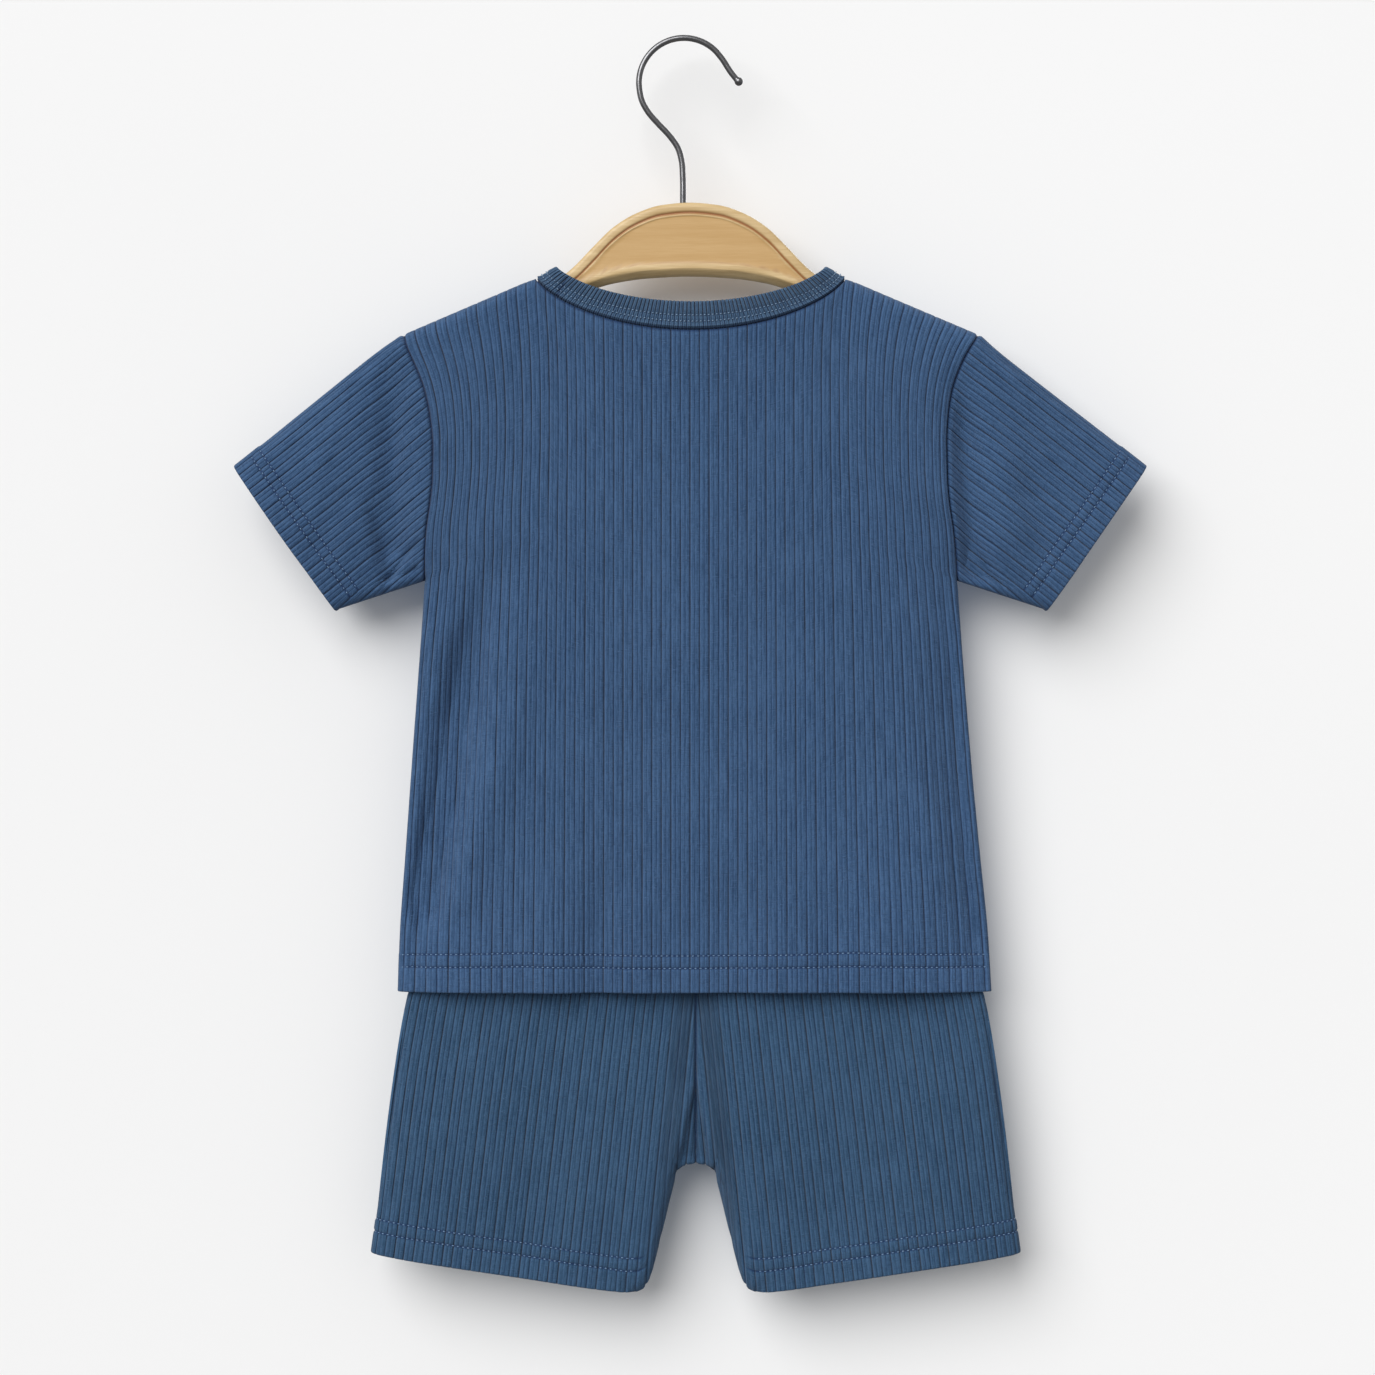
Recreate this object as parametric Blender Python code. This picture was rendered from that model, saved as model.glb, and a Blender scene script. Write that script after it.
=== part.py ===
"""Toddler's T-shirt and shorts in wide-rib knit, hung on a wooden hanger with a wire hook.

Metres, +X to the viewer's right, +Y away from the viewer, +Z up. The garment's back faces -Y.
The origin is the underside of the hook's top bend, where a rod or a peg carries the hanger.
Sizes below are in millimetres. A height is a drop below the origin, and a width is measured
from the garment's centre line. MM turns them into metres when a mesh is made.
"""

import math
from collections import namedtuple

import bmesh
import bpy
import numpy as np

MM = 0.001
GAP = 0.3
CENTRE_X = 3.2
BACK = -1.0
FRONT = 1.0

# Knit: a plain inside, with ribs raised on the outside
KNIT_WALL = 1.1
RIB_HEIGHT = 0.9
RIB_PITCH = 5.0
HEM_DEPTH = 19.5
HEM_EXTRA = 0.8

# Shirt
NECK_HALF = 81.5
BACK_NECK_POWER = 0.7
FRONT_NECK_POWER = 0.85
BACK_NECK_DEPTH = 28.2
FRONT_NECK_DEPTH = 60.3
SHOULDER_SLOPE = 0.4268
TIP_HALF = 151.0
TIP_DROP = 154.9
SLEEVE_TOP_END = (240.0, 225.0)
SLEEVE_CORNER = (187.6, 300.0)
ROLL = 8.0
BODY_RIBS = 58
FAN_POWER = 3.0
FOLD_FADE = 8.0

# How finely a row is measured before its ribs are spaced along it
MEASURE_STEPS = 600
NORMAL_STEP = 0.002
HALVINGS = 50

SideLevel = namedtuple("SideLevel", "drop half_width centre")
SHIRT_SIDE = (
    SideLevel(TIP_DROP, TIP_HALF, 0.5),
    SideLevel(156.9, 150.4, 0.2),
    SideLevel(162.9, 147.5, -0.8),
    SideLevel(176.0, 141.2, -1.0),
    SideLevel(208.0, 135.1, 0.0),
    SideLevel(247.0, 136.5, 0.0),
    SideLevel(284.5, 140.0, 0.6),
    SideLevel(377.0, 146.7, 0.8),
    SideLevel(470.0, 154.8, 2.0),
    SideLevel(500.5, 156.2, 2.4),
)
ARMHOLE_LEVELS = 7
SIDE_DROPS = np.array([level.drop for level in SHIRT_SIDE])
SIDE_HALVES = np.array([level.half_width for level in SHIRT_SIDE])
SIDE_CENTRES = np.array([level.centre for level in SHIRT_SIDE])
SHIRT_HEM = SHIRT_SIDE[-1].drop

# Half of the shirt's depth, front to back, where its cloth lies free of the edges
Fill = namedtuple("Fill", "drop half_depth")
SHIRT_FILL = (
    Fill(120.0, 12.0),
    Fill(155.0, 12.0),
    Fill(200.0, 12.5),
    Fill(284.0, 13.5),
    Fill(380.0, 14.0),
    Fill(470.0, 15.5),
    Fill(500.5, 16.0),
)

# How an edge of the flat tube turns over: a tight roll, then a slow rise to the full depth
Edge = namedtuple("Edge", "depth radius spread")
SIDE_EDGE = Edge(5.0, 5.5, 55.0)
SHOULDER_EDGE = Edge(9.0, ROLL, 50.0)
SLEEVE_EDGE_DEPTH = 6.0
LEG_EDGE = Edge(4.5, 5.0, 34.0)

# Soft folds: valleys along a line, or ridges where the depth is negative
Fold = namedtuple("Fold", "face x0 drop0 x1 drop1 width depth")
SHIRT_FOLDS = (
    Fold(BACK, -104.0, 300.0, -141.0, 446.0, 13.0, 4.2),
    Fold(BACK, -84.0, 330.0, -124.0, 440.0, 13.0, -1.8),
    Fold(BACK, 122.0, 318.0, 149.0, 446.0, 12.0, 2.8),
    Fold(BACK, -48.0, 436.0, -50.0, 496.0, 12.0, 1.6),
    Fold(BACK, 19.0, 444.0, 24.0, 498.0, 15.0, 1.3),
    Fold(BACK, -155.0, 190.0, -152.0, 262.0, 8.0, 3.2),
    Fold(BACK, -168.0, 242.0, -158.0, 282.0, 6.0, 2.2),
    Fold(BACK, 142.0, 190.0, 147.0, 272.0, 8.0, 3.8),
    Fold(FRONT, 108.0, 310.0, 140.0, 440.0, 14.0, 3.6),
    Fold(FRONT, -120.0, 330.0, -146.0, 438.0, 12.0, 2.6),
    Fold(FRONT, 36.0, 420.0, 30.0, 492.0, 15.0, 1.6),
    Fold(FRONT, -60.0, 400.0, -66.0, 490.0, 16.0, 1.4),
    Fold(FRONT, -150.0, 195.0, -148.0, 266.0, 8.0, 3.0),
    Fold(FRONT, 152.0, 188.0, 150.0, 262.0, 9.0, 3.2),
)

# Sleeve: ribs run along it, level with its top edge
SLEEVE_RIBS_TO_CORNER = 20
SLEEVE_RIBS_PAST_CORNER = 4
SLEEVE_ROWS = (0.0, 0.12, 0.38, 0.7, 1.0)
SLEEVE_MIDDLE = 200.0
UNDERARM_REACH = 2.0

# Neckband, outer surface: its seam on the shirt and its free edge
Ring = namedtuple("Ring", "half base back_depth front_depth")
BAND_SEAM = Ring(NECK_HALF - GAP, 125.1, 27.7, 59.7)
BAND_EDGE = Ring(70.8, 119.6, 19.0, 51.3)
BAND_WALL = 2.6
BAND_RIB_PITCH = 2.1
BAND_RIB_HEIGHT = 0.45
BAND_PROUD = 0.5
BAND_EDGE_DEPTH = 9.6
BAND_EDGE_ROLL = 6.0
BAND_SHOULDER_ROLL = 4.6
BAND_TURN = 0.93
BAND_INNER_STEP = 4
BAND_MEASURE_STEPS = 4000
BAND_ANGLE_STEP = 0.01
BAND_SHARE_STEP = 0.05
BAND_OUTWARD_X = 0.2
BAND_OUTWARD_UP = 4.0

# Shorts
SHORTS_CENTRE = 3.0
WAIST_TOP = 388.0
WAIST_SEAM = 416.0
LEG_REFERENCE = 638.2
LEG_HALF = 170.2
CROTCH_DROP = 591.0
LEG_RIBS = 33
LEG_CORNERS = (54, 59, 62)
LEG_SEARCH_END = 680.0
OUTER_TILT = math.radians(7.9)
INNER_TILT = math.radians(5.5)
SHORTS_ROWS = (0.0, 0.17, 0.38, 0.6, 0.8, 1.0)
Outline = namedtuple("Outline", "half_width drop")
SHORTS_SIDE = (
    Outline(119.5, WAIST_TOP),
    Outline(121.5, WAIST_SEAM),
    Outline(132.0, 450.0),
    Outline(141.0, 480.0),
    Outline(151.8, 505.4),
    Outline(LEG_HALF, LEG_REFERENCE),
)
SHORTS_BOTTOM = (
    Outline(LEG_HALF, LEG_REFERENCE),
    Outline(38.0, 658.2),
    Outline(28.5, 657.2),
    Outline(24.0, 650.0),
    Outline(9.8, 593.5),
    Outline(GAP / 2, CROTCH_DROP),
)
SHORTS_FILL = (
    Fill(WAIST_TOP, 3.0),
    Fill(WAIST_SEAM, 3.2),
    Fill(450.0, 5.5),
    Fill(478.0, 6.5),
    Fill(505.0, 8.5),
    Fill(560.0, 12.0),
    Fill(660.0, 12.5),
)
SHORTS_FOLDS = (
    Fold(BACK, 0.0, 556.0, 0.0, 592.0, 9.0, 3.5),
    Fold(BACK, -84.0, 588.0, -88.0, 634.0, 16.0, 1.6),
    Fold(BACK, 96.0, 522.0, 104.0, 580.0, 18.0, 1.6),
    Fold(FRONT, 0.0, 556.0, 0.0, 592.0, 9.0, 3.5),
    Fold(FRONT, 70.0, 575.0, 76.0, 636.0, 16.0, 1.8),
    Fold(FRONT, -110.0, 530.0, -118.0, 590.0, 18.0, 1.5),
)

# Waistband: an elastic casing pressed flat by the clips
WAISTBAND_HALF_DEPTH = 3.2
WAISTBAND_WALL = 2.2
ROUND_STEPS = 6

# Hanger
HANGER_THICKNESS = 11.0
HANGER_BEVEL = 2.6
HANGER_TOP = (
    Outline(0.0, 85.6),
    Outline(15.0, 86.9),
    Outline(28.0, 91.1),
    Outline(40.0, 98.3),
    Outline(51.5, 109.4),
    Outline(60.5, 118.8),
    Outline(64.5, 122.3),
    Outline(68.0, 124.9),
    Outline(72.0, 127.2),
    Outline(77.0, 129.6),
    Outline(82.0, 130.0),
    Outline(89.0, 131.3),
    Outline(140.5, 153.25),
    Outline(145.0, 157.0),
    Outline(146.0, 162.0),
    Outline(143.0, 166.5),
)
HANGER_BOTTOM = (
    Outline(138.0, 167.5),
    Outline(82.0, 143.8),
    Outline(64.0, 134.5),
    Outline(52.5, 128.6),
    Outline(40.0, 124.4),
    Outline(22.0, 121.7),
    Outline(0.0, 120.7),
)

# Hook: a round bend, a swept throat and a straight shank, from its tip to its screwed end
WIRE_RADIUS = 1.6
BEND_RADIUS = 22.1 + WIRE_RADIUS
RoutePoint = namedtuple("RoutePoint", "x drop")
HOOK_TIP = (
    RoutePoint(30.6, 22.9),
    RoutePoint(27.9, 20.4),
    RoutePoint(25.4, 17.4),
)
HOOK_THROAT = (
    RoutePoint(-22.3, 31.0),
    RoutePoint(-18.9, 37.4),
    RoutePoint(-13.4, 43.8),
    RoutePoint(-7.6, 50.0),
    RoutePoint(-3.2, 56.4),
    RoutePoint(-1.2, 63.4),
    RoutePoint(-0.6, 72.0),
    RoutePoint(-0.5, 84.0),
    RoutePoint(-0.5, 97.0),
)
TIP_SWELL = (0.55, 1.45, 1.2)
BEND_STEPS = 13
BORE_CLEARANCE = 0.45
BORE_SIDES = 12
HOOK_BORE_MOUTH = 80.0
ROD_BORE_MOUTH = 160.0
BEND_START = 55.0
BEND_END = -100.0

# Drop clips, which carry the shorts from the hanger's arms
CLIP_HALF_SPAN = 88.0
ROD_RADIUS = 1.25
ROD_SIDES = 8
ROD_TOP = 140.0
ROD_END = 385.0
CLIP_WIDTH = 24.0
CLIP_TOP = 383.4
CLIP_ROOF = 387.6
CLIP_JAW_END = 402.0
CLIP_JAW = 1.6


def srgb(red, green, blue):
    """Turn an 8-bit screen colour into linear light, as a shader takes it."""
    linear = [((c / 255 + 0.055) / 1.055) ** 2.4 for c in (red, green, blue)]
    return (*linear, 1.0)


def make_material(name, colour, roughness, metallic=0.0):
    """Make a plain material of one colour."""
    material = bpy.data.materials.new(name)
    material.use_nodes = True
    shader = material.node_tree.nodes["Principled BSDF"]
    shader.inputs["Base Color"].default_value = colour
    shader.inputs["Roughness"].default_value = roughness
    shader.inputs["Metallic"].default_value = metallic
    material.diffuse_color = colour
    return material


def distance_to(path, across, drop):
    """Distance from points to an open path, whose rows hold a width and a drop."""
    best = np.full(np.shape(across), np.inf)
    for (a0, d0), (a1, d1) in zip(path[:-1], path[1:]):
        run, fall = a1 - a0, d1 - d0
        share = ((across - a0) * run + (drop - d0) * fall) / (run * run + fall * fall)
        share = np.clip(share, 0.0, 1.0)
        best = np.minimum(best, np.hypot(across - a0 - share * run, drop - d0 - share * fall))
    return best


def roll_over(distance, depth, radius):
    """Quarter of an ellipse: the depth that cloth has gained this far in from a folded edge."""
    share = np.clip(distance / radius, 0.0, 1.0)
    return depth * np.sqrt(1.0 - (1.0 - share) ** 2)


def rise(distance, edge_depth, edge, fill):
    """Depth gained from an edge: its tight roll, then a slow rise to the full depth."""
    edge_depth = np.minimum(edge_depth, fill)
    slow = np.sin(np.clip(distance / edge.spread, 0.0, 1.0) * math.pi / 2)
    return roll_over(distance, edge_depth, edge.radius) + (fill - edge_depth) * slow


def lesser(first, second):
    """Smooth minimum of two depths."""
    return (np.maximum(first, 1e-3) ** -4 + np.maximum(second, 1e-3) ** -4) ** -0.25


def fold_depth(folds, face, x, drop, clear):
    """Depth of all soft folds on one face, fading where the cloth rolls over an edge."""
    total = np.zeros(np.shape(x))
    for fold in folds:
        if fold.face == face:
            line = ((fold.x0, fold.drop0), (fold.x1, fold.drop1))
            total += fold.depth * np.exp(-((distance_to(line, x, drop) / fold.width) ** 2))
    return total * np.clip(clear / FOLD_FADE, 0.0, 1.0)


def shoulder_drop(across):
    """Drop of the shoulder line, carried on to the centre line."""
    return TIP_DROP + (np.abs(across) - TIP_HALF) * SHOULDER_SLOPE


UPPER_EDGE = ((0.0, shoulder_drop(0.0)), (TIP_HALF, TIP_DROP), SLEEVE_TOP_END)
LOWER_EDGE = (SLEEVE_CORNER,) + tuple(
    (level.half_width, level.drop) for level in SHIRT_SIDE[ARMHOLE_LEVELS - 1 :]
)


def shirt_depth(x, drop, face):
    """Half depth of the shirt, from its folded edges, its fill and its soft folds."""
    across = np.abs(x)
    low = distance_to(LOWER_EDGE, across, drop)
    high = distance_to(UPPER_EDGE, across, drop)
    fill = np.interp(drop, [f.drop for f in SHIRT_FILL], [f.half_depth for f in SHIRT_FILL])
    top_depth = np.interp(
        across, (TIP_HALF, SLEEVE_MIDDLE), (SHOULDER_EDGE.depth, SLEEVE_EDGE_DEPTH)
    )
    from_side = rise(low, SIDE_EDGE.depth, SIDE_EDGE, fill)
    from_top = rise(high, top_depth, SHOULDER_EDGE, fill)
    depth = lesser(from_side, from_top)
    depth -= fold_depth(SHIRT_FOLDS, face, x, drop, np.minimum(low, high))
    on_edge = np.minimum(low, high) < 1e-6
    return np.where(on_edge, 0.0, np.maximum(depth, 0.0))


def neckline_drop(across, face):
    """Drop of the shirt's neckline, from one shoulder seam to the other."""
    depth, power = (BACK_NECK_DEPTH, BACK_NECK_POWER)
    if face == FRONT:
        depth, power = (FRONT_NECK_DEPTH, FRONT_NECK_POWER)
    share = np.clip(np.abs(across) / NECK_HALF, 0.0, 1.0)
    return shoulder_drop(NECK_HALF) + depth * (1.0 - share**2) ** power


def body_row(level, columns, face):
    """Points across a shirt panel in one row, which is named by its drop at the side."""
    half = np.interp(level, SIDE_DROPS, SIDE_HALVES) - GAP / 2

    def drops(t):
        across = np.abs(t) * TIP_HALF
        top = np.where(across < NECK_HALF, neckline_drop(across, face), shoulder_drop(across))
        share = (SHIRT_HEM - level) / (SHIRT_HEM - TIP_DROP - ROLL)
        low = SHIRT_HEM - share * (SHIRT_HEM - top - ROLL)
        return np.where(level >= TIP_DROP + ROLL, low, top + level - TIP_DROP)

    t = np.sin(np.linspace(-math.pi / 2, math.pi / 2, MEASURE_STEPS + 1))
    low = np.maximum(distance_to(LOWER_EDGE, np.abs(half * t), drops(t)) - GAP / 2, 0.0)
    turned = rise(low, SIDE_EDGE.depth, SIDE_EDGE, SIDE_EDGE.depth * 2)
    run = np.concatenate(([0.0], np.cumsum(np.hypot(np.diff(half * t), np.diff(turned)))))
    run -= run[-1] / 2
    reach, even = run[-1], BODY_RIBS * RIB_PITCH / 2
    across = 2.0 * columns - 1.0
    wanted = across * even + (reach - even) * np.sign(across) * np.abs(across) ** FAN_POWER
    t = np.interp(wanted, run, t)
    drop = drops(t)
    x = half * t
    centre = np.interp(level, SIDE_DROPS, SIDE_CENTRES)
    on_seam = (np.abs(across) >= 1.0) & (level >= SIDE_DROPS[ARMHOLE_LEVELS - 1])
    depth = np.where(on_seam, 0.0, shirt_depth(x, drop, face))
    return np.stack((x + centre, face * (GAP / 2 + depth), drop), axis=-1)


def armhole_half(drop):
    """Half width of the shirt's body where its side and armhole seams lie."""
    return np.interp(drop, SIDE_DROPS, SIDE_HALVES)


def keep_body(points, face):
    """Hold a shirt panel's points on its own side of every seam."""
    x, y, drop = points[..., 0], points[..., 1], points[..., 2]
    centre = np.interp(drop, SIDE_DROPS, SIDE_CENTRES)
    limit = armhole_half(drop) - GAP / 2
    x = np.clip(x - centre, -limit, limit)
    y = face * np.maximum(face * y, GAP / 2)
    edge = np.where(np.abs(x) < NECK_HALF, neckline_drop(x, face), 0.0)
    return np.stack((x + centre, y, np.maximum(drop, edge)), axis=-1)


def sleeve_axes():
    """Unit steps along the sleeve's top edge and across the sleeve, as width and drop."""
    run, fall = SLEEVE_TOP_END[0] - TIP_HALF, SLEEVE_TOP_END[1] - TIP_DROP
    length = math.hypot(run, fall)
    return np.array((run, fall)) / length, np.array((-fall, run)) / length


ALONG, ACROSS = sleeve_axes()


def in_sleeve(across, drop):
    """Turn widths and drops into lengths along the sleeve and across it."""
    width, fall = np.asarray(across) - TIP_HALF, np.asarray(drop) - TIP_DROP
    return width * ALONG[0] + fall * ALONG[1], width * ACROSS[0] + fall * ACROSS[1]


ARMHOLE_ALONG, ARMHOLE_ACROSS = in_sleeve(
    SIDE_HALVES[:ARMHOLE_LEVELS] + GAP / 2, SIDE_DROPS[:ARMHOLE_LEVELS]
)
CORNER_ALONG, CORNER_ACROSS = in_sleeve(*SLEEVE_CORNER)
SLEEVE_LENGTH = in_sleeve(*SLEEVE_TOP_END)[0]
SLEEVE_COLUMNS = 2 * (SLEEVE_RIBS_TO_CORNER + SLEEVE_RIBS_PAST_CORNER)
CORNER_COLUMN = 2 * SLEEVE_RIBS_TO_CORNER


def sleeve_row(row, columns, face, side):
    """Points across one half of a sleeve, from its top edge to its underarm seam."""
    fine = (np.linspace(0.0, 1.0, MEASURE_STEPS + 1) ** 2) * CORNER_ACROSS
    turned = rise(fine, SLEEVE_EDGE_DEPTH, SHOULDER_EDGE, SLEEVE_EDGE_DEPTH * 2)
    run = np.concatenate(([0.0], np.cumsum(np.hypot(np.diff(fine), np.diff(turned)))))
    corner = CORNER_COLUMN / SLEEVE_COLUMNS
    before = np.interp(np.clip(columns / corner, 0.0, 1.0) * run[-1], run, fine)
    past = np.clip((columns - corner) / (1.0 - corner), 0.0, 1.0)
    across = before + past * (ARMHOLE_ACROSS[-1] - CORNER_ACROSS)
    start = np.interp(across, ARMHOLE_ACROSS, ARMHOLE_ALONG)
    ends_across = (0.0, CORNER_ACROSS, ARMHOLE_ACROSS[-1])
    end = np.interp(across, ends_across, (SLEEVE_LENGTH, CORNER_ALONG, ARMHOLE_ALONG[-1]))
    along = start + row * (end - start)
    width = TIP_HALF + along * ALONG[0] + across * ACROSS[0]
    drop = TIP_DROP + along * ALONG[1] + across * ACROSS[1]
    y = face * shirt_depth(side * width, drop, face)
    y = np.where((columns <= 0.0) | (past >= 1.0) | ((row >= 1.0) & (columns >= corner)), 0.0, y)
    centre = np.interp(drop, SIDE_DROPS, SIDE_CENTRES)
    return np.stack((side * width + centre, y, drop), axis=-1)


def keep_sleeve(points, face, side):
    """Hold a sleeve's points outside the armhole seam and on their own face."""
    x, y, drop = points[..., 0], points[..., 1], points[..., 2]
    centre = np.interp(drop, SIDE_DROPS, SIDE_CENTRES)
    width = side * (x - centre)
    underarm = SHIRT_SIDE[ARMHOLE_LEVELS - 1].drop + UNDERARM_REACH
    inner = np.where(drop < underarm, armhole_half(drop), 0.0)
    width = np.maximum(width, inner + GAP / 2)
    return np.stack((side * width + centre, face * np.maximum(face * y, 0.0), drop), axis=-1)


def shorts_depth(x, drop, face):
    """Half depth of the shorts, from their side and inner leg edges and their fill."""
    across = np.abs(x)
    side = [(row.half_width, row.drop) for row in SHORTS_SIDE]
    inseam = [(row.half_width, row.drop) for row in SHORTS_BOTTOM[2:]]
    outer = np.maximum(distance_to(side, across, drop), 0.0)
    inner = np.maximum(distance_to(inseam, across, drop), 0.0)
    fill = np.interp(drop, [f.drop for f in SHORTS_FILL], [f.half_depth for f in SHORTS_FILL])
    depth = lesser(
        rise(outer, LEG_EDGE.depth, LEG_EDGE, fill), rise(inner, LEG_EDGE.depth, LEG_EDGE, fill)
    )
    clear = np.minimum(outer, inner)
    depth -= fold_depth(SHORTS_FOLDS, face, x, drop, clear)
    return np.where(clear < 1e-6, 0.0, np.maximum(depth, 0.0))


def leg_columns(columns):
    """Where each rib column of a shorts panel crosses the reference level, and its slope."""
    crotch_foot = GAP / 2 + (LEG_REFERENCE - CROTCH_DROP) * math.tan(INNER_TILT)
    inward = (np.linspace(0.0, 1.0, MEASURE_STEPS + 1) ** 2) * (LEG_HALF - crotch_foot)
    turned = rise(inward, LEG_EDGE.depth, LEG_EDGE, LEG_EDGE.depth * 2)
    run = np.concatenate(([0.0], np.cumsum(np.hypot(np.diff(inward), np.diff(turned)))))
    foot = LEG_HALF - np.interp(columns * run[-1], run, inward)
    slope = math.tan(OUTER_TILT) + columns * (math.tan(INNER_TILT) - math.tan(OUTER_TILT))
    return foot, slope


def leg_width(columns, drop):
    """Distance from the centre line of each rib column of a shorts panel at a drop."""
    foot, slope = leg_columns(columns)
    straight = LEG_HALF - (LEG_REFERENCE - drop) * math.tan(OUTER_TILT)
    side = np.interp(drop, [row.drop for row in SHORTS_SIDE], [row.half_width for row in SHORTS_SIDE])
    drawn_in = np.where(drop < LEG_REFERENCE, side - straight, 0.0)
    return foot - (LEG_REFERENCE - drop) * slope + drawn_in * (1.0 - columns) ** 3


def leg_ends(columns):
    """Drops at which each rib column of a shorts panel starts and ends."""
    foot, slope = leg_columns(columns)
    top = np.maximum(LEG_REFERENCE - (foot - GAP / 2) / slope, WAIST_SEAM)
    widths = [row.half_width for row in reversed(SHORTS_BOTTOM)]
    drops = [row.drop for row in reversed(SHORTS_BOTTOM)]
    high, low = top.copy(), np.full(np.shape(columns), LEG_SEARCH_END)
    for _ in range(HALVINGS):
        middle = (high + low) / 2
        inside = middle < np.interp(leg_width(columns, middle), widths, drops)
        high = np.where(inside, middle, high)
        low = np.where(inside, low, middle)
    return high, top


def shorts_row(row, columns, face, side):
    """Points across one shorts panel, from its side seam to the crotch."""
    bottom, top = leg_ends(columns)
    drop = bottom + row * (top - bottom)
    width = np.maximum(leg_width(columns, drop), GAP / 2)
    at_crotch = columns >= 1.0
    drop = np.where(at_crotch, CROTCH_DROP, drop)
    width = np.where(at_crotch, GAP / 2, width)
    y = face * (GAP / 2 + shorts_depth(side * width, drop, face))
    y = np.where(at_crotch | (columns <= 0.0), face * GAP / 2, y)
    return np.stack((side * width + SHORTS_CENTRE, y, drop), axis=-1)


def keep_shorts(points, face, side):
    """Hold a shorts panel's points on its own side of every seam."""
    x, y, drop = points[..., 0], points[..., 1], points[..., 2]
    width = np.maximum(side * (x - SHORTS_CENTRE), GAP / 2)
    y = face * np.maximum(face * y, GAP / 2)
    return np.stack((side * width + SHORTS_CENTRE, y, np.maximum(drop, WAIST_SEAM)), axis=-1)


def grid_of(row_points, rows, columns):
    """Stack the rows of a surface into one grid."""
    return np.array([row_points(row, columns) for row in rows])


def normals_of(row_points, rows, columns, row_step, face):
    """Unit normals of a surface, from points a little way along its rows and columns."""
    low, high = min(rows), max(rows)
    left = grid_of(row_points, rows, np.clip(columns - NORMAL_STEP, 0.0, 1.0))
    right = grid_of(row_points, rows, np.clip(columns + NORMAL_STEP, 0.0, 1.0))
    below = grid_of(row_points, [max(row - row_step, low) for row in rows], columns)
    above = grid_of(row_points, [min(row + row_step, high) for row in rows], columns)
    normal = np.cross(right - left, above - below)
    length = np.linalg.norm(normal, axis=-1, keepdims=True)
    normal = normal / np.maximum(length, 1e-9)
    return normal * face * np.sign(np.median(normal[..., 1]))


def rib_heights(count):
    """Height of each column over the groove's floor: a rib's crest on every other column."""
    return np.where(np.arange(count) % 2 == 1, RIB_HEIGHT, 0.0)[None, :, None]


class Wall:
    """Gathers the points and faces of one closed wall."""

    def __init__(self):
        self.points = []
        self.faces = []

    def lay(self, grid, closed=False):
        """Add a grid of points with a face in each cell, and return the grid's indices."""
        rows, columns = grid.shape[:2]
        start = len(self.points)
        self.points.extend(grid.reshape(-1, 3).tolist())
        index = start + np.arange(rows * columns).reshape(rows, columns)
        for row in range(rows - 1):
            for column in range(columns if closed else columns - 1):
                nxt = (column + 1) % columns
                self.faces.append(
                    (index[row, column], index[row, nxt], index[row + 1, nxt], index[row + 1, column])
                )
        return index

    def stitch(self, first, second, first_at, second_at):
        """Join a fine line to a coarse one with triangles, changing over halfway each time."""
        i = j = 0
        while i < len(first) - 1 or j < len(second) - 1:
            step_first = j == len(second) - 1
            if i < len(first) - 1 and not step_first:
                halfway = (second_at[j] + second_at[j + 1]) / 2
                step_first = first_at[i] < halfway - 1e-9
            if step_first:
                self.faces.append((first[i], first[i + 1], second[j]))
                i += 1
            else:
                self.faces.append((first[i], second[j + 1], second[j]))
                j += 1

    def make(self, name, material, collection):
        """Turn the wall into an object, with doubled points merged and faces turned out."""
        mesh = bpy.data.meshes.new(name)
        built = bmesh.new()
        verts = [built.verts.new(((x + CENTRE_X) * MM, y * MM, -drop * MM)) for x, y, drop in self.points]
        for face in self.faces:
            corners = [verts[index] for index in dict.fromkeys(face)]
            if len(corners) > 2:
                built.faces.new(corners)
        bmesh.ops.remove_doubles(built, verts=built.verts, dist=2e-6)
        bmesh.ops.dissolve_degenerate(built, edges=built.edges, dist=1e-6)
        bmesh.ops.recalc_face_normals(built, faces=built.faces)
        if built.calc_volume(signed=True) < 0.0:
            bmesh.ops.reverse_faces(built, faces=built.faces)
        built.to_mesh(mesh)
        built.free()
        return add_object(name, mesh, material, collection)


def add_object(name, mesh, material, collection):
    """Put a mesh into the collection under its own name, with its material."""
    thing = bpy.data.objects.new(name, mesh)
    thing.data.materials.clear()
    thing.data.materials.append(material)
    collection.objects.link(thing)
    return thing


def inner_columns(count, corners=()):
    """Columns that the plain inside keeps: every fourth, and more beside edges and corners."""
    kept = set(range(0, count + 1, 4)) | {2, count - 2, count}
    for corner in corners:
        kept |= {corner - 2, corner - 1, corner, corner + 1}
    return sorted(kept)


def build_panel(name, row_points, keep, rows, inner_rows, thickness, kept, face, row_step):
    """Build an open panel as a closed wall: ribs outside, plain inside, edges stitched."""
    count = kept[-1]
    columns = np.linspace(0.0, 1.0, count + 1)
    outer = grid_of(row_points, rows, columns)
    normals = normals_of(row_points, rows, columns, row_step, face)
    outer = keep(outer + normals * rib_heights(count + 1))
    few = columns[kept]
    inner = grid_of(row_points, inner_rows, few)
    normals = normals_of(row_points, inner_rows, few, row_step, face)
    inner = keep(inner - normals * thickness(inner))
    wall = Wall()
    outside, inside = wall.lay(outer), wall.lay(inner)
    for edge in (0, -1):
        wall.stitch(outside[edge], inside[edge], columns, few)
        toward = np.sign(rows[-1] - rows[0])
        wall.stitch(
            outside[:, edge], inside[:, edge], np.array(rows) * toward, np.array(inner_rows) * toward
        )
    return name, wall


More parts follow.
